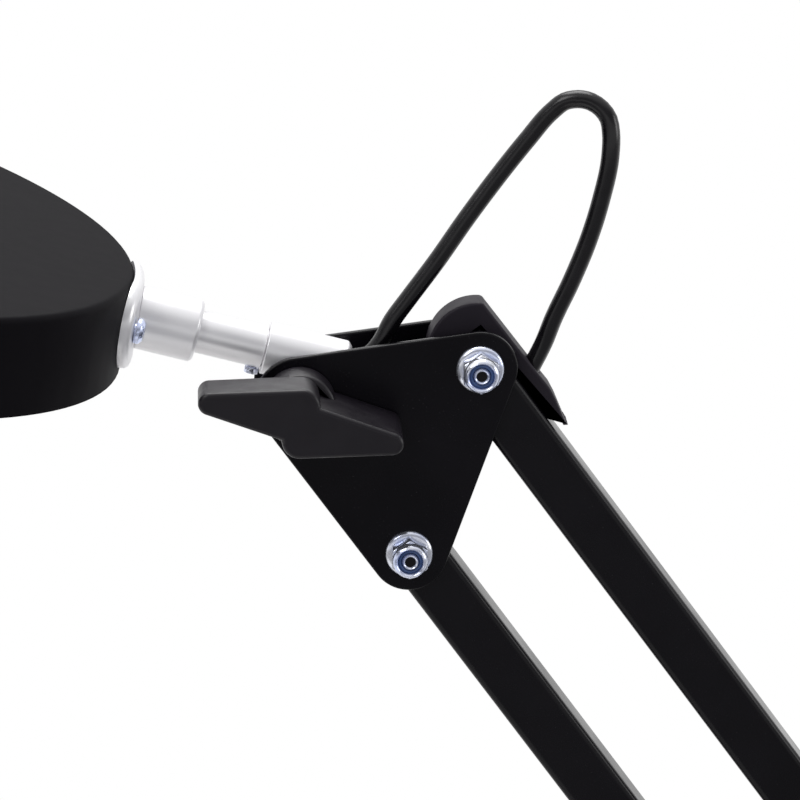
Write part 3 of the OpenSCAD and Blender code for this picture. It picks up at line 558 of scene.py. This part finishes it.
def lugs(centres, radii, steps):
    """Outline round circles joined by their outer tangents, anticlockwise."""
    sides = []
    count = len(centres)
    for i in range(count):
        (px, pz), (qx, qz) = centres[i], centres[(i + 1) % count]
        reach = math.hypot(qx - px, qz - pz)
        sides.append(math.atan2(qz - pz, qx - px)
                     - math.acos((radii[i] - radii[(i + 1) % count]) / reach))
    outline = []
    for i, ((x, z), radius) in enumerate(zip(centres, radii)):
        first, last = sides[i - 1], sides[i]
        while last < first:
            last += FULL_TURN
        for k in range(steps + 1):
            angle = first + (last - first) * k / steps
            outline.append((x + radius * math.cos(angle), z + radius * math.sin(angle)))
    return outline


def rounded_rectangle(width, height, radius, steps=5):
    """Outline of a rectangle with round corners, anticlockwise."""
    outline = []
    for sx, sy, start in ((1, 1, 0), (-1, 1, 90), (-1, -1, 180), (1, -1, 270)):
        for k in range(steps + 1):
            angle = math.radians(start + 90 * k / steps)
            outline.append((sx * (width / 2 - radius) + radius * math.cos(angle),
                            sy * (height / 2 - radius) + radius * math.sin(angle)))
    return outline


def merged_copy(node):
    """A CAD node's mesh in millimetres, with its loose triangles joined to flat faces."""
    bm = bmesh.new()
    bm.from_mesh(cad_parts[node].data)
    bmesh.ops.scale(bm, vec=(1 / MM,) * 3, verts=bm.verts)
    bmesh.ops.remove_doubles(bm, verts=bm.verts, dist=CAD_WELD)
    bmesh.ops.dissolve_limit(bm, angle_limit=FLAT_BELOW, verts=bm.verts, edges=bm.edges)
    return bm


def softened(node, finish_name, body, radius, segments=2):
    """Dresses a CAD node in a merged copy of itself, its sharp edges rounded."""
    bm = merged_copy(node)
    if radius:
        rounded(bm, radius, segments)
    dress(bm, node, [finish_name], body)


def slope(before, here, after):
    """Direction of a smooth curve at the middle one of three points."""
    one, two = (here - before).length, (after - here).length
    if one < 1e-6 or two < 1e-6:
        return (after - before) / max(one + two, 1e-6)
    return ((here - before) / one * two + (after - here) / two * one) / (one + two)


def smooth_line(points):
    """Points on a smooth curve through the route, and the route's points' places among them."""
    knots = [Vector(p) for p in points]
    line, marks = [knots[0]], [0]
    for i in range(len(knots) - 1):
        before = knots[max(i - 1, 0)]
        here, there = knots[i], knots[i + 1]
        after = knots[min(i + 2, len(knots) - 1)]
        reach = (there - here).length
        count = max(2, round(reach / RING_STEP))
        m0, m1 = slope(before, here, there) * reach, slope(here, there, after) * reach
        for k in range(1, count + 1):
            t = k / count
            line.append(here * (2 * t ** 3 - 3 * t ** 2 + 1) + m0 * (t ** 3 - 2 * t ** 2 + t)
                        + there * (3 * t ** 2 - 2 * t ** 3) + m1 * (t ** 3 - t ** 2))
        marks.append(len(line) - 1)
    return line, marks


def tube_along(line, diameter, name, resolution=4):
    """A round tube along a line of points in millimetres, as a mesh in metres."""
    curve = bpy.data.curves.new(name, "CURVE")
    curve.dimensions = "3D"
    curve.bevel_depth = diameter / 2 * MM
    curve.bevel_resolution = resolution
    curve.use_fill_caps = True
    spline = curve.splines.new("POLY")
    spline.points.add(len(line) - 1)
    for point, place in zip(spline.points, line):
        point.co = (*(place * MM), 1)
    holder = new_object(name, curve)
    bpy.context.view_layer.update()
    mesh = bpy.data.meshes.new_from_object(holder)
    bpy.data.objects.remove(holder)
    bpy.data.curves.remove(curve)
    mesh.name = name
    for polygon in mesh.polygons:
        polygon.use_smooth = True
    mesh.set_sharp_from_angle(angle=SMOOTH_BELOW)
    mesh.materials.append(finish("cord sleeve"))
    return new_object(name, mesh)


# Cord routes, as the solids have them, with the numbers of the points where their pieces part

RING_STEP = 1.2
HEAD_CORD = [
    (-115.3, 0, 840), (-112, 0, 840.2), (-110.2, 0, 840.5), (-108, 0, 841.4), (-106.1, 0, 842.8),
    (-104.6, 0, 844.6), (-101.7, 0.3, 849.9), (-98.3, 0.6, 854.5), (-91.5, 1, 863.6),
    (-85.2, 1.4, 872.7), (-78.5, 1.7, 881.8), (-71.4, 1.6, 890.9), (-65.6, 1, 897.8),
    (-63, 0.5, 899.9), (-60.1, 0, 900.5), (-57.2, -0.6, 900), (-54.9, -1.2, 898.5),
    (-53.3, -1.8, 896.2), (-52.8, -2.2, 893.4), (-52.9, -2.7, 888.2), (-54.9, -2.6, 877.9),
    (-57.6, -2, 868.6), (-61.2, -1.2, 859.2), (-65.4, -0.3, 849.7), (-67.3, 0, 844.6),
    (-70, 0, 839.1), (-72.3, 0, 834.7)]
HEAD_CORD_TOP = 14

# The point by which the cord has taken up the neck's tilt
HEAD_CORD_BEND = 7

ELBOW_CORD = [
    (150.6, 0, 528.4), (155.1, 0, 529.2), (163, 0, 529.8), (172, 0, 526.6), (181.5, 0, 519.2),
    (190, 0, 507), (195.2, 0, 492), (197, 0, 476), (195.8, 0, 461), (191.6, 0, 448),
    (185, 0, 438.4), (177, 0, 432.4), (168, 0, 429.8), (160.4, 0, 429), (155.9, 0, 428.4)]
ELBOW_CORD_MIDDLE = 7
LEAD = [
    (26, 0, 72.7), (29.4, 0, 69.1), (34.2, 0, 62.8), (37.6, 0, 56), (39.5, 0, 48.8), (40, 0, 41),
    (40, 0, 34.5), (40, 2, 28.4), (38.4, 7.2, 22.6), (35, 15, 18), (29.8, 23.6, 14.6),
    (23.4, 31, 11.4), (15.4, 37, 8.2), (6, 41.2, 5), (-4, 43.8, 2.9), (-14, 44.9, 2.1),
    (-24, 45.2, 2.1), (-33, 45.2, 2.1), (-40.8, 45.2, 2.1)]
LEAD_IN_GROMMET = 5

# The coil of spare lead, with a short straight at both ends
COIL_START = Vector((-45, 45.2, 2.1))
COIL_END = 4.2
COIL_LAYERS = 4
COIL_PITCH = 4.7
COIL_MEAN_RADIUS = 23.4
COIL_RAMP = 0.5
RINGS_A_TURN = 24


def coil_line(turns):
    """Middle line of the spare lead's coil, winding in and out again on each layer."""
    layer_turns = turns / COIL_LAYERS
    outside = COIL_MEAN_RADIUS + layer_turns * COIL_PITCH / 2
    middle = COIL_START + Vector((0, outside, 0))

    def layer_height(done):
        """The layer after a number of turns, with a ramp from one to the next."""
        near = round(done / layer_turns)
        past = done - near * layer_turns
        if near < 1 or near >= COIL_LAYERS:
            return max(0, math.floor(done / layer_turns - 0.001))
        if abs(past) < COIL_RAMP / 2:
            return near - 0.5 + past / COIL_RAMP
        return near - 1 if past < 0 else near

    line = [COIL_START + Vector((COIL_END, 0, 0))]
    for i in range(turns * RINGS_A_TURN + 1):
        done = min(i / RINGS_A_TURN, turns - 0.0001)
        layer, share = divmod(done / layer_turns, 1)
        radius = outside - layer_turns * COIL_PITCH * (share if layer % 2 == 0 else 1 - share)
        angle = math.radians(-90 - 360 * i / RINGS_A_TURN)
        line.append(middle + Vector((radius * math.cos(angle), radius * math.sin(angle),
                                     COIL_PITCH * layer_height(done))))
    line.append(COIL_START + Vector((-COIL_END, 0, COIL_PITCH * (COIL_LAYERS - 1))))
    return line


# Operators

class LAMP_OT_stage(Operator):
    """Adds the floor slab that the clamp grips, lights, white surroundings and the camera"""
    bl_idname = "lamp.stage"
    bl_label = "Add Stage"

    def execute(self, context):
        outline = rounded_rectangle(TABLE_DEPTH, TABLE_WIDTH, 4)
        slab = rounded(prism(outline, -TABLE_THICK, -0.02), 1.2)
        floor = put(slab, "floor", ["floor"],
                    where=Matrix.Translation((TABLE_EDGE_X - TABLE_DEPTH / 2, 0, 0)))
        self.light_world(context)
        for name, place, target, width, power in (
                ("key softbox", (-1.5, -1.3, 2.6), (-0.05, 0, 0.75), 1.2, 18),
                ("top softbox", (-0.2, 0.9, 2.9), (-0.05, 0, 0.6), 1.6, 38),
                ("side softbox", (2.2, -0.4, 1.3), (0, 0, 0.7), 1.0, 9)):
            lamp = bpy.data.lights.new(name, "AREA")
            lamp.size = width
            lamp.energy = power
            self.aim(new_object(name, lamp), place, target)
        data = bpy.data.cameras.new("camera")
        data.lens = CAMERA_LENS
        data.sensor_width = 36
        context.scene.camera = new_object("camera", data)
        self.aim(context.scene.camera, CAMERA_PLACE, CAMERA_AIM)
        return {"FINISHED"}

    @staticmethod
    def aim(thing, place, target):
        """Puts a light or the camera at a place, looking at a target, both in metres."""
        thing.location = place
        towards = Vector(target) - Vector(place)
        thing.rotation_euler = towards.to_track_quat("-Z", "Y").to_euler()

    @staticmethod
    def light_world(context):
        """White to the camera, and to shiny faces a dim room with bright parts."""
        world = bpy.data.worlds.new("studio")
        world.use_nodes = True
        context.scene.world = world
        sh = Shader(world.node_tree)
        towards = sh.node("ShaderNodeTexCoord", output="Generated")
        depth, height = (sh.node("ShaderNodeSeparateXYZ", values={0: towards}, output=axis)
                         for axis in "YZ")
        behind = sh.spread(depth, 0, 1, -0.35, 0.25)
        above = sh.spread(height, 0, 1, 0.55, 0.85)
        strip = sh.spread(height, 0, 0.8, -0.1, -0.03) * sh.spread(height, 1, 0, 0.14, 0.24)
        room = sh.blend(sh.rays("Camera") + behind + above + strip, (0.33, 0.33, 0.34),
                        (1, 1, 1))
        seen = sh.node("ShaderNodeBackground", values={0: room, 1: 1.0})
        light = sh.node("ShaderNodeBackground", values={0: (0.93, 0.95, 1.0), 1: 0.38})
        both = sh.node("ShaderNodeMixShader", values={
            0: sh.rays("Camera", "Glossy", "Transmission"), 1: light, 2: seen})
        sh.node("ShaderNodeOutputWorld", values={"Surface": both})


class LAMP_OT_cords(Operator):
    """Adds the cord's free loops, the lead and its coil"""
    bl_idname = "lamp.cords"
    bl_label = "Add Cords"

    def execute(self, context):
        width = millimetres(context.scene.lamp_arms).cord_width
        head_line, head_marks = smooth_line(HEAD_CORD)
        elbow_line, elbow_marks = smooth_line(ELBOW_CORD)
        lead_line, lead_marks = smooth_line(LEAD)
        top = head_marks[HEAD_CORD_TOP]
        middle = elbow_marks[ELBOW_CORD_MIDDLE]
        grommet = lead_marks[LEAD_IN_GROMMET]
        bend = head_marks[HEAD_CORD_BEND]
        for name, whole, first, last, settled, bodies in (
                ("head_cord_rear", head_line, 0, top, bend, ("holder", "head_bracket")),
                ("head_cord_front", head_line, top, head_marks[-1], head_marks[-1],
                 ("head_bracket", "upper_arm")),
                ("elbow_cord_upper", elbow_line, 0, middle, middle, ("upper_arm", "elbow")),
                ("elbow_cord_lower", elbow_line, middle, elbow_marks[-1], elbow_marks[-1],
                 ("elbow", "lower_arm")),
                ("base_cord", lead_line, 0, grommet, grommet, ("lower_arm", "swivel_base"))):
            line = whole[first:last + 1]
            piece = tube_along(self.past_ends(whole, first, last), width, name + "_dressed")
            self.declare(piece, line, width, name, "object")
            line[0] * MM
            whole[settled] * MM
            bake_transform(piece)
        line = lead_line[grommet:]
        lead = tube_along(line, width, "lead_dressed")
        self.declare(lead, line, width, "lead", "object")
        line[0] * MM
        line[-1] * MM
        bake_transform(lead)
        wound = coil_line(millimetres(context.scene.lamp_clamp).coil_turns)
        coil = tube_along(wound, width, "lead_coil_dressed", 2)
        self.declare(coil, wound, width, "lead_coil", "plug", ["adapter_dressed"])
        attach(coil, "clamp")
        return {"FINISHED"}

    @staticmethod
    def past_ends(whole, first, last):
        """Part of a line and a hair more, so that pieces' end rings meet in one plane."""
        line = whole[first:last + 1]
        if first > 0:
            line = [whole[first].lerp(whole[first - 1], 0.02)] + line
        if last < len(whole) - 1:
            line = line + [whole[last].lerp(whole[last + 1], 0.02)]
        return line

    @staticmethod
    def declare(piece, line, width, node, far_end, on_it=()):
        """Hides the CAD node that the cord stands in for; the pieces at its end are not used."""
        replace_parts(piece, node)
        width * MM


class LAMP_OT_adapter(Operator):
    """Adds the plug-in adapter with its ribbed strain relief and prongs"""
    bl_idname = "lamp.adapter"
    bl_label = "Add Adapter"

    def execute(self, context):
        long, wide, tall = ADAPTER_SIZE
        bm = rounded(prism(rounded_rectangle(long, wide, 5), 0.03, tall), 2.2, 3)
        cover = prism(rounded_rectangle(long - 14, wide - 12, 3), tall - 0.2, tall + 0.8)
        join(bm, rounded(cover, 0.4))
        relief = [(0, 0)]
        for i in range(9):
            low, thin = i * 3.1, i * 0.28
            relief += [(5.05 - thin, low), (4.95 - thin, low + 2), (4.05 - thin, low + 2.1),
                       (4 - thin, low + 3)]
        relief += [(2.5, 28), (0, 28)]
        join(bm, turned(relief, 40), Matrix.Translation((long / 2, 0, tall / 2))
             @ Matrix.Rotation(math.pi / 2, 4, "Y"))
        for side in (-1, 1):
            prong = prism(rounded_rectangle(6.4, 1.5, 0.4, 2), tall - 0.5, tall + 16.5)
            where = Matrix.Translation((-19, side * PRONG_SPACING / 2, 0))
            join(bm, rounded(prong, 0.35), where, 1)
        dress(bm, "adapter", ["black plastic", "brass"], "clamp",
              Matrix.Translation(ADAPTER_PLACE), merge=False)
        return {"FINISHED"}


class LAMP_OT_clamp(Operator):
    """Adds the clamp frame, its pad, bush, pressure disc and screw"""
    bl_idname = "lamp.clamp"
    bl_label = "Add Clamp"

    def execute(self, context):
        clamp = millimetres(context.scene.lamp_clamp)
        softened("clamp_frame", "plate enamel", "clamp", clamp.frame_edge, 3)
        softened("clamp_pad", "soft rubber", "clamp", 0.4)
        softened("socket_bush", "white nylon", "clamp", 0.3)
        disc = turned([(5, -30.02), (14, -30.02), (15.2, -30.2), (16, -31), (16, -32.2),
                       (15.4, -33), (14, -33.2), (9.4, -38.4), (8.6, -39), (4, -39), (4, -36)],
                      72, True)
        dress(disc, "pressure_disc", ["black plastic"], "clamp_disc")
        self.add_screw(clamp)
        return {"FINISHED"}

    @staticmethod
    def add_screw(clamp):
        """The rod with its thread, and the round-ended handle across its foot."""
        outer, pitch = clamp.screw_width / 2, clamp.thread_pitch
        root, crest = outer - 0.9, outer - 0.06
        low, high, tip = -116, -40.6, -31.6
        rod = turned([(0, low), (root, low), (root, high), (3.4, high + 1.2), (3.4, tip),
                      (0, tip)], 40)
        thread = bmesh.new()
        profile = [(root - 0.3, 0), (crest, pitch * 0.4), (crest, pitch * 0.6),
                   (root - 0.3, pitch)]
        points, edges = chain(thread, [(r, 0, low + 4 + h) for r, h in profile])
        turns = int((high - low - 8) / pitch)
        bmesh.ops.spin(thread, geom=points + edges, cent=(0, 0, 0), axis=(0, 0, 1),
                       dvec=(0, 0, pitch / 32), angle=FULL_TURN * turns, steps=32 * turns,
                       use_merge=False)
        bmesh.ops.recalc_face_normals(thread, faces=thread.faces)
        join(rod, thread)
        end = 5.5
        reach = clamp.handle_length / 2 - end
        grip = prism(lugs([(-reach, 0), (reach, 0)], [end, end], 16), -124.8, -111.9)
        rounded(grip, 1.6, 3)
        hub = turned([(0, -126), (7.6, -126), (9, -125), (9.5, -123.6), (9.5, -112),
                      (8.8, -110.6), (7.2, -110), (0, -110)], 48)
        join(rod, grip, material=1)
        join(rod, hub, material=1)
        dress(rod, "clamp_screw", ["zinc", "knob plastic"], "clamp_spindle", merge=False)


class LAMP_OT_swivel_base(Operator):
    """Adds the swivel bracket, its pin, its washers and the lead's grommet"""
    bl_idname = "lamp.swivel_base"
    bl_label = "Add Swivel Base"

    def execute(self, context):
        edge = millimetres(context.scene.lamp_arms).plate_edge
        softened("base_bracket", "plate enamel", "swivel_base", edge)
        softened("base_pin", "zinc", "swivel_base", 0.2)
        softened("lead_grommet", "soft rubber", "swivel_base", 0.4)
        softened("base_washers", "white nylon", "swivel_base", 0)
        return {"FINISHED"}


class LAMP_OT_arms(Operator):
    """Adds the hollow square tubes, their springs and the cord inside them"""
    bl_idname = "lamp.arms"
    bl_label = "Add Arms"

    def execute(self, context):
        arms = millimetres(context.scene.lamp_arms)
        for name, pivot, angle, underside in (
                ("lower_arm", BASE_MAIN, LOWER_ANGLE, -5),
                ("upper_arm", UPPER_MAIN, UPPER_ANGLE, -5),
                ("lower_link", BASE_LINK, LOWER_ANGLE, -5.9),
                ("upper_link", UPPER_LINK, UPPER_ANGLE, -7.1)):
            middle = Matrix.Translation((-TUBE_END, 0, underside + arms.tube_width / 2))
            dress(self.hollow_tube(arms), name + "_tube", ["tube enamel"], name,
                  on_arm(pivot, angle) @ middle)
        for name in ("lower_arm", "upper_arm"):
            softened(name + "_cord", "cord sleeve", name, 0)
        for name in ("lower_link", "upper_link"):
            softened(name + "_spring", "zinc", name, 0)
        return {"FINISHED"}

    @staticmethod
    def hollow_tube(arms):
        """A hollow square section along x, with its ends past both pivots."""
        bm = bmesh.new()
        loops = []
        for width, radius in ((arms.tube_width, arms.tube_round),
                              (arms.tube_width - 2 * arms.tube_wall, TUBE_INNER_ROUND)):
            outline = rounded_rectangle(width, width, radius)
            loops += chain(bm, [(0, x, y) for x, y in outline], closed=True)[1]
        faces = bmesh.ops.bridge_loops(bm, edges=loops)["faces"]
        return extruded(bm, faces, (ARM + 2 * TUBE_END, 0, 0))


class LAMP_OT_cord_caps(Operator):
    """Adds the rounded cord caps over the ends of the main tubes"""
    bl_idname = "lamp.cord_caps"
    bl_label = "Add Cord Caps"

    def execute(self, context):
        edge = millimetres(context.scene.lamp_arms).cap_edge
        for arm, end in (("lower_arm", "foot"), ("lower_arm", "top"), ("upper_arm", "foot"),
                         ("upper_arm", "head")):
            softened(f"{arm}_{end}_cap", "cap plastic", arm, edge, 3)
        return {"FINISHED"}


class LAMP_OT_brackets(Operator):
    """Adds the plates of the elbow and of the head bracket"""
    bl_idname = "lamp.brackets"
    bl_label = "Add Brackets"

    def execute(self, context):
        edge = millimetres(context.scene.lamp_arms).plate_edge
        for name, body, centres, radii in (
                ("elbow", "elbow", [ELBOW_MAIN, UPPER_MAIN, ELBOW_LINK], [10, 10, 9.5]),
                ("head", "head_bracket", [HEAD_LINK, HEAD_MAIN, TILT_PIVOT], [8.8, 8.5, 10])):
            for side, y in (("front", -PLATE_Y), ("rear", FACE_Y)):
                bm = rounded(prism(lugs(centres, radii, 24), 0, FACE_Y - PLATE_Y), edge, 2)
                dress(bm, f"{name}_plate_{side}", ["plate enamel"], body,
                      facing_front((0, 0), y))
        return {"FINISHED"}


class LAMP_OT_fasteners(Operator):
    """Adds the pivots' bolts, lock nuts and washers"""
    bl_idname = "lamp.fasteners"
    bl_label = "Add Fasteners"

    def execute(self, context):
        for name, body, pivots, turn in (
                ("base", "swivel_base", [BASE_MAIN, BASE_LINK], 30),
                ("elbow", "elbow", [ELBOW_MAIN, ELBOW_LINK, UPPER_LINK], 10),
                ("head", "head_bracket", [HEAD_MAIN, HEAD_LINK], 30)):
            nuts, bolts, rings = bmesh.new(), bmesh.new(), bmesh.new()
            for pivot in pivots:
                where = facing_front(pivot, -FACE_Y)
                join(nuts, self.lock_nut(turn), where)
                join(rings, turned([(1.9, 5.2), (2.8, 5.2), (2.8, 6.7), (2.5, 6.95), (2.1, 6.85),
                                    (1.95, 6.4)], 48, True), where)
                join(bolts, self.bolt(BOLT_TIP), where)
                # A dark disc in the dimple of each bolt's tip, painted shade
                join(bolts, turned([(0, 7.05), (1.3, 7.05), (1.3, 6.9), (0, 6.9)], 32), where, 1)
            if name == "elbow":
                join(bolts, self.bolt(KNOB_BOLT_TIP), facing_front(UPPER_MAIN, -FACE_Y))
            if name == "head":
                dress(rings, "head_nut_rings", ["blue nylon"], body, merge=False)
            else:
                put(rings, name + "_nut_rings", ["blue nylon"], body, merge=False)
            dress(nuts, name + "_nuts", ["zinc"], body, merge=False)
            dress(bolts, name + "_bolts", ["zinc", "black screws"], body, merge=False)
        softened("elbow_washers", "white nylon", "elbow", 0)
        softened("head_washers", "white nylon", "head_bracket", 0)
        softened("tilt_bolt", "zinc", "head_bracket", 0.2)
        return {"FINISHED"}

    @staticmethod
    def lock_nut(turn):
        """A flanged lock nut: round flange, chamfered hexagon and rolled collar."""
        bm = turned([(2.5, 0.02), (5.2, 0.02), (5.4, 0.25), (5.35, 0.75), (4.9, 1.2), (4.2, 1.4),
                     (2.5, 1.4)], 64, True)
        corner = NUT_ACROSS_FLATS / 2 / math.cos(math.radians(30))
        hexagon = [along(60 * k + turn, corner) for k in range(6)]
        join(bm, rounded(prism(hexagon, 0.9, 5.6), 0.4, 2))
        join(bm, turned([(3.1, 4.6), (4.02, 4.6), (4.02, 5.9), (3.9, 6.8), (3.6, 7.3), (3.2, 7.5),
                         (2.9, 7.3), (2.8, 6.9), (2.8, 5.6)], 56, True))
        return bm

    @staticmethod
    def bolt(tip):
        """A bolt from its tip, with a dimple, to the domed head behind the rear plate."""
        root = -2 * FACE_Y
        bm = turned([(0, tip - 0.65), (1.15, tip - 0.6), (1.35, tip - 0.1), (1.6, tip),
                     (1.85, tip - 0.35), (1.9, tip - 1.6), (2.45, tip - 2.2), (2.45, root),
                     (0, root)], 40)
        join(bm, turned([(0, root + 0.02), (4.6, root + 0.02), (4.75, root - 0.3),
                         (4.7, root - 1.7), (4, root - 2.7), (2.6, root - 3), (0, root - 3)], 48))
        return bm


class LAMP_OT_wing_knobs(Operator):
    """Adds the two wing knobs"""
    bl_idname = "lamp.wing_knobs"
    bl_label = "Add Wing Knobs"

    def execute(self, context):
        edge = millimetres(context.scene.lamp_arms).knob_edge
        softened("wing_knob", "knob plastic", "tilt_knob", edge, 3)
        softened("elbow_knob", "knob plastic", "elbow_tension_knob", edge, 3)
        return {"FINISHED"}


class LAMP_OT_neck(Operator):
    """Adds the turned neck, its flange and screws"""
    bl_idname = "lamp.neck"
    bl_label = "Add Neck"

    def execute(self, context):
        head = millimetres(context.scene.lamp_head)
        softened("neck_holder", "neck metal", "holder", head.neck_edge)
        softened("neck_rod", "neck metal", "head", head.neck_edge)
        self.add_flange(head)
        softened("neck_screw", "zinc", "head", 0.1)
        softened("flange_screws", "zinc", "head", 0.15)
        return {"FINISHED"}

    @staticmethod
    def add_flange(head):
        """The oval flange, its front rim rounded down towards the head's wall."""
        bm = merged_copy("neck_flange")
        to_head = on_head().inverted()

        def on_rim(vert):
            """Whether a corner stands off the wall, and clear of the holes."""
            place = to_head @ vert.co
            off_wall = math.hypot(place.x, place.y) + place.z * WALL_LEAN - head.head_radius
            off_holes = math.hypot(max(abs(place.y) - 10, 0), place.z + HEAD_RISE)
            return off_wall > 1.5 and off_holes > 6

        rim = [edge for edge in sharp(bm) if edge.is_convex and all(map(on_rim, edge.verts))]
        dress(rounded(bm, head.flange_edge, 4, rim), "neck_flange", ["neck metal"], "head")


class LAMP_OT_head(Operator):
    """Adds the round head, its lid and power button"""
    bl_idname = "lamp.head"
    bl_label = "Add Head"

    def execute(self, context):
        head = millimetres(context.scene.lamp_head)
        softened("head_housing", "shell plastic", "head", head.shell_edge)
        softened("bottom_ring", "black plastic", "head", head.shell_edge)
        softened("lid", "shell plastic", "lens_lid", head.lid_edge)
        softened("lid_pin", "zinc", "lens_lid", 0.2)
        softened("power_button", "cap plastic", "switch", head.lid_edge, 3)
        return {"FINISHED"}


class LAMP_OT_optics(Operator):
    """Adds the lens with its gasket and retainer, and the LED ring with its diffuser"""
    bl_idname = "lamp.optics"
    bl_label = "Add Lens and LEDs"

    def execute(self, context):
        head = millimetres(context.scene.lamp_head)
        softened("lens", "lens glass", "head", 0)
        softened("lens_gasket", "soft rubber", "head", 0.4)
        softened("lens_retainer", "black plastic", "head", 0.3)
        softened("diffuser_ring", "frosted cover", "head", 0.2)
        dress(self.led_ring(head), "led_board", ["solder mask", "white nylon", "phosphor"],
              "head", on_head(), merge=False)
        return {"FINISHED"}

    @staticmethod
    def led_ring(head):
        """A ring-shaped board over its LEDs, each a white body round a phosphor window."""
        top, bottom = -8, -9.6
        inner = head.lens_width / 2 + 6.2
        outer = head.head_radius - head.head_wall - 0.6
        bm = turned([(inner, bottom), (outer, bottom), (outer, top), (inner, top)], 128, True)
        body_low, window = bottom - 0.95, head.led_width * 0.36
        for i in range(head.led_count):
            where = (Matrix.Rotation(FULL_TURN * i / head.led_count, 4, "Z")
                     @ Matrix.Translation(((inner + outer) / 2 - 1.35, 0, 0)))
            body = prism(rounded_rectangle(head.led_width, head.led_width, 0.4, 2), body_low,
                         bottom + 0.1)
            join(bm, rounded(body, 0.15, 1), where, 1)
            join(bm, turned([(0, body_low - 0.14), (window * 0.8, body_low - 0.1),
                             (window, body_low + 0.1), (0, body_low + 0.1)], 20), where, 2)
        return bm


OPERATORS = [LAMP_OT_stage, LAMP_OT_adapter, LAMP_OT_cords, LAMP_OT_clamp, LAMP_OT_swivel_base,
             LAMP_OT_arms, LAMP_OT_cord_caps, LAMP_OT_brackets, LAMP_OT_fasteners,
             LAMP_OT_wing_knobs, LAMP_OT_neck, LAMP_OT_head, LAMP_OT_optics]
GROUPS = {"lamp_arms": LampArmSizes, "lamp_head": LampHeadSizes, "lamp_clamp": LampClampSizes,
          "lamp_colours": LampColours}


class LAMP_PT_sidebar(Panel):
    """Lists the lamp's sizes, colours and pieces"""
    bl_idname = "LAMP_PT_sidebar"
    bl_label = "Magnifying Lamp"
    bl_space_type = "VIEW_3D"
    bl_region_type = "UI"
    bl_category = "Magnifying Lamp"

    def draw(self, context):
        for name in GROUPS:
            box = self.layout.box()
            group = getattr(context.scene, name)
            for prop in group.__annotations__:
                box.prop(group, prop)
        for operator in OPERATORS:
            self.layout.operator(operator.bl_idname)


def register():
    for cls in [*GROUPS.values(), *OPERATORS, LAMP_PT_sidebar]:
        bpy.utils.register_class(cls)
    for name, group in GROUPS.items():
        setattr(bpy.types.Scene, name, PointerProperty(type=group))


def unregister():
    for name in GROUPS:
        delattr(bpy.types.Scene, name)
    for cls in reversed([*GROUPS.values(), *OPERATORS, LAMP_PT_sidebar]):
        bpy.utils.unregister_class(cls)


def main():
    register()
    bpy.context.scene.view_settings.view_transform = "Standard"
    for operator in OPERATORS:
        group, name = operator.bl_idname.split(".")
        getattr(getattr(bpy.ops, group), name)()
    bpy.context.view_layer.update()


if __name__ == "__main__":
    main()
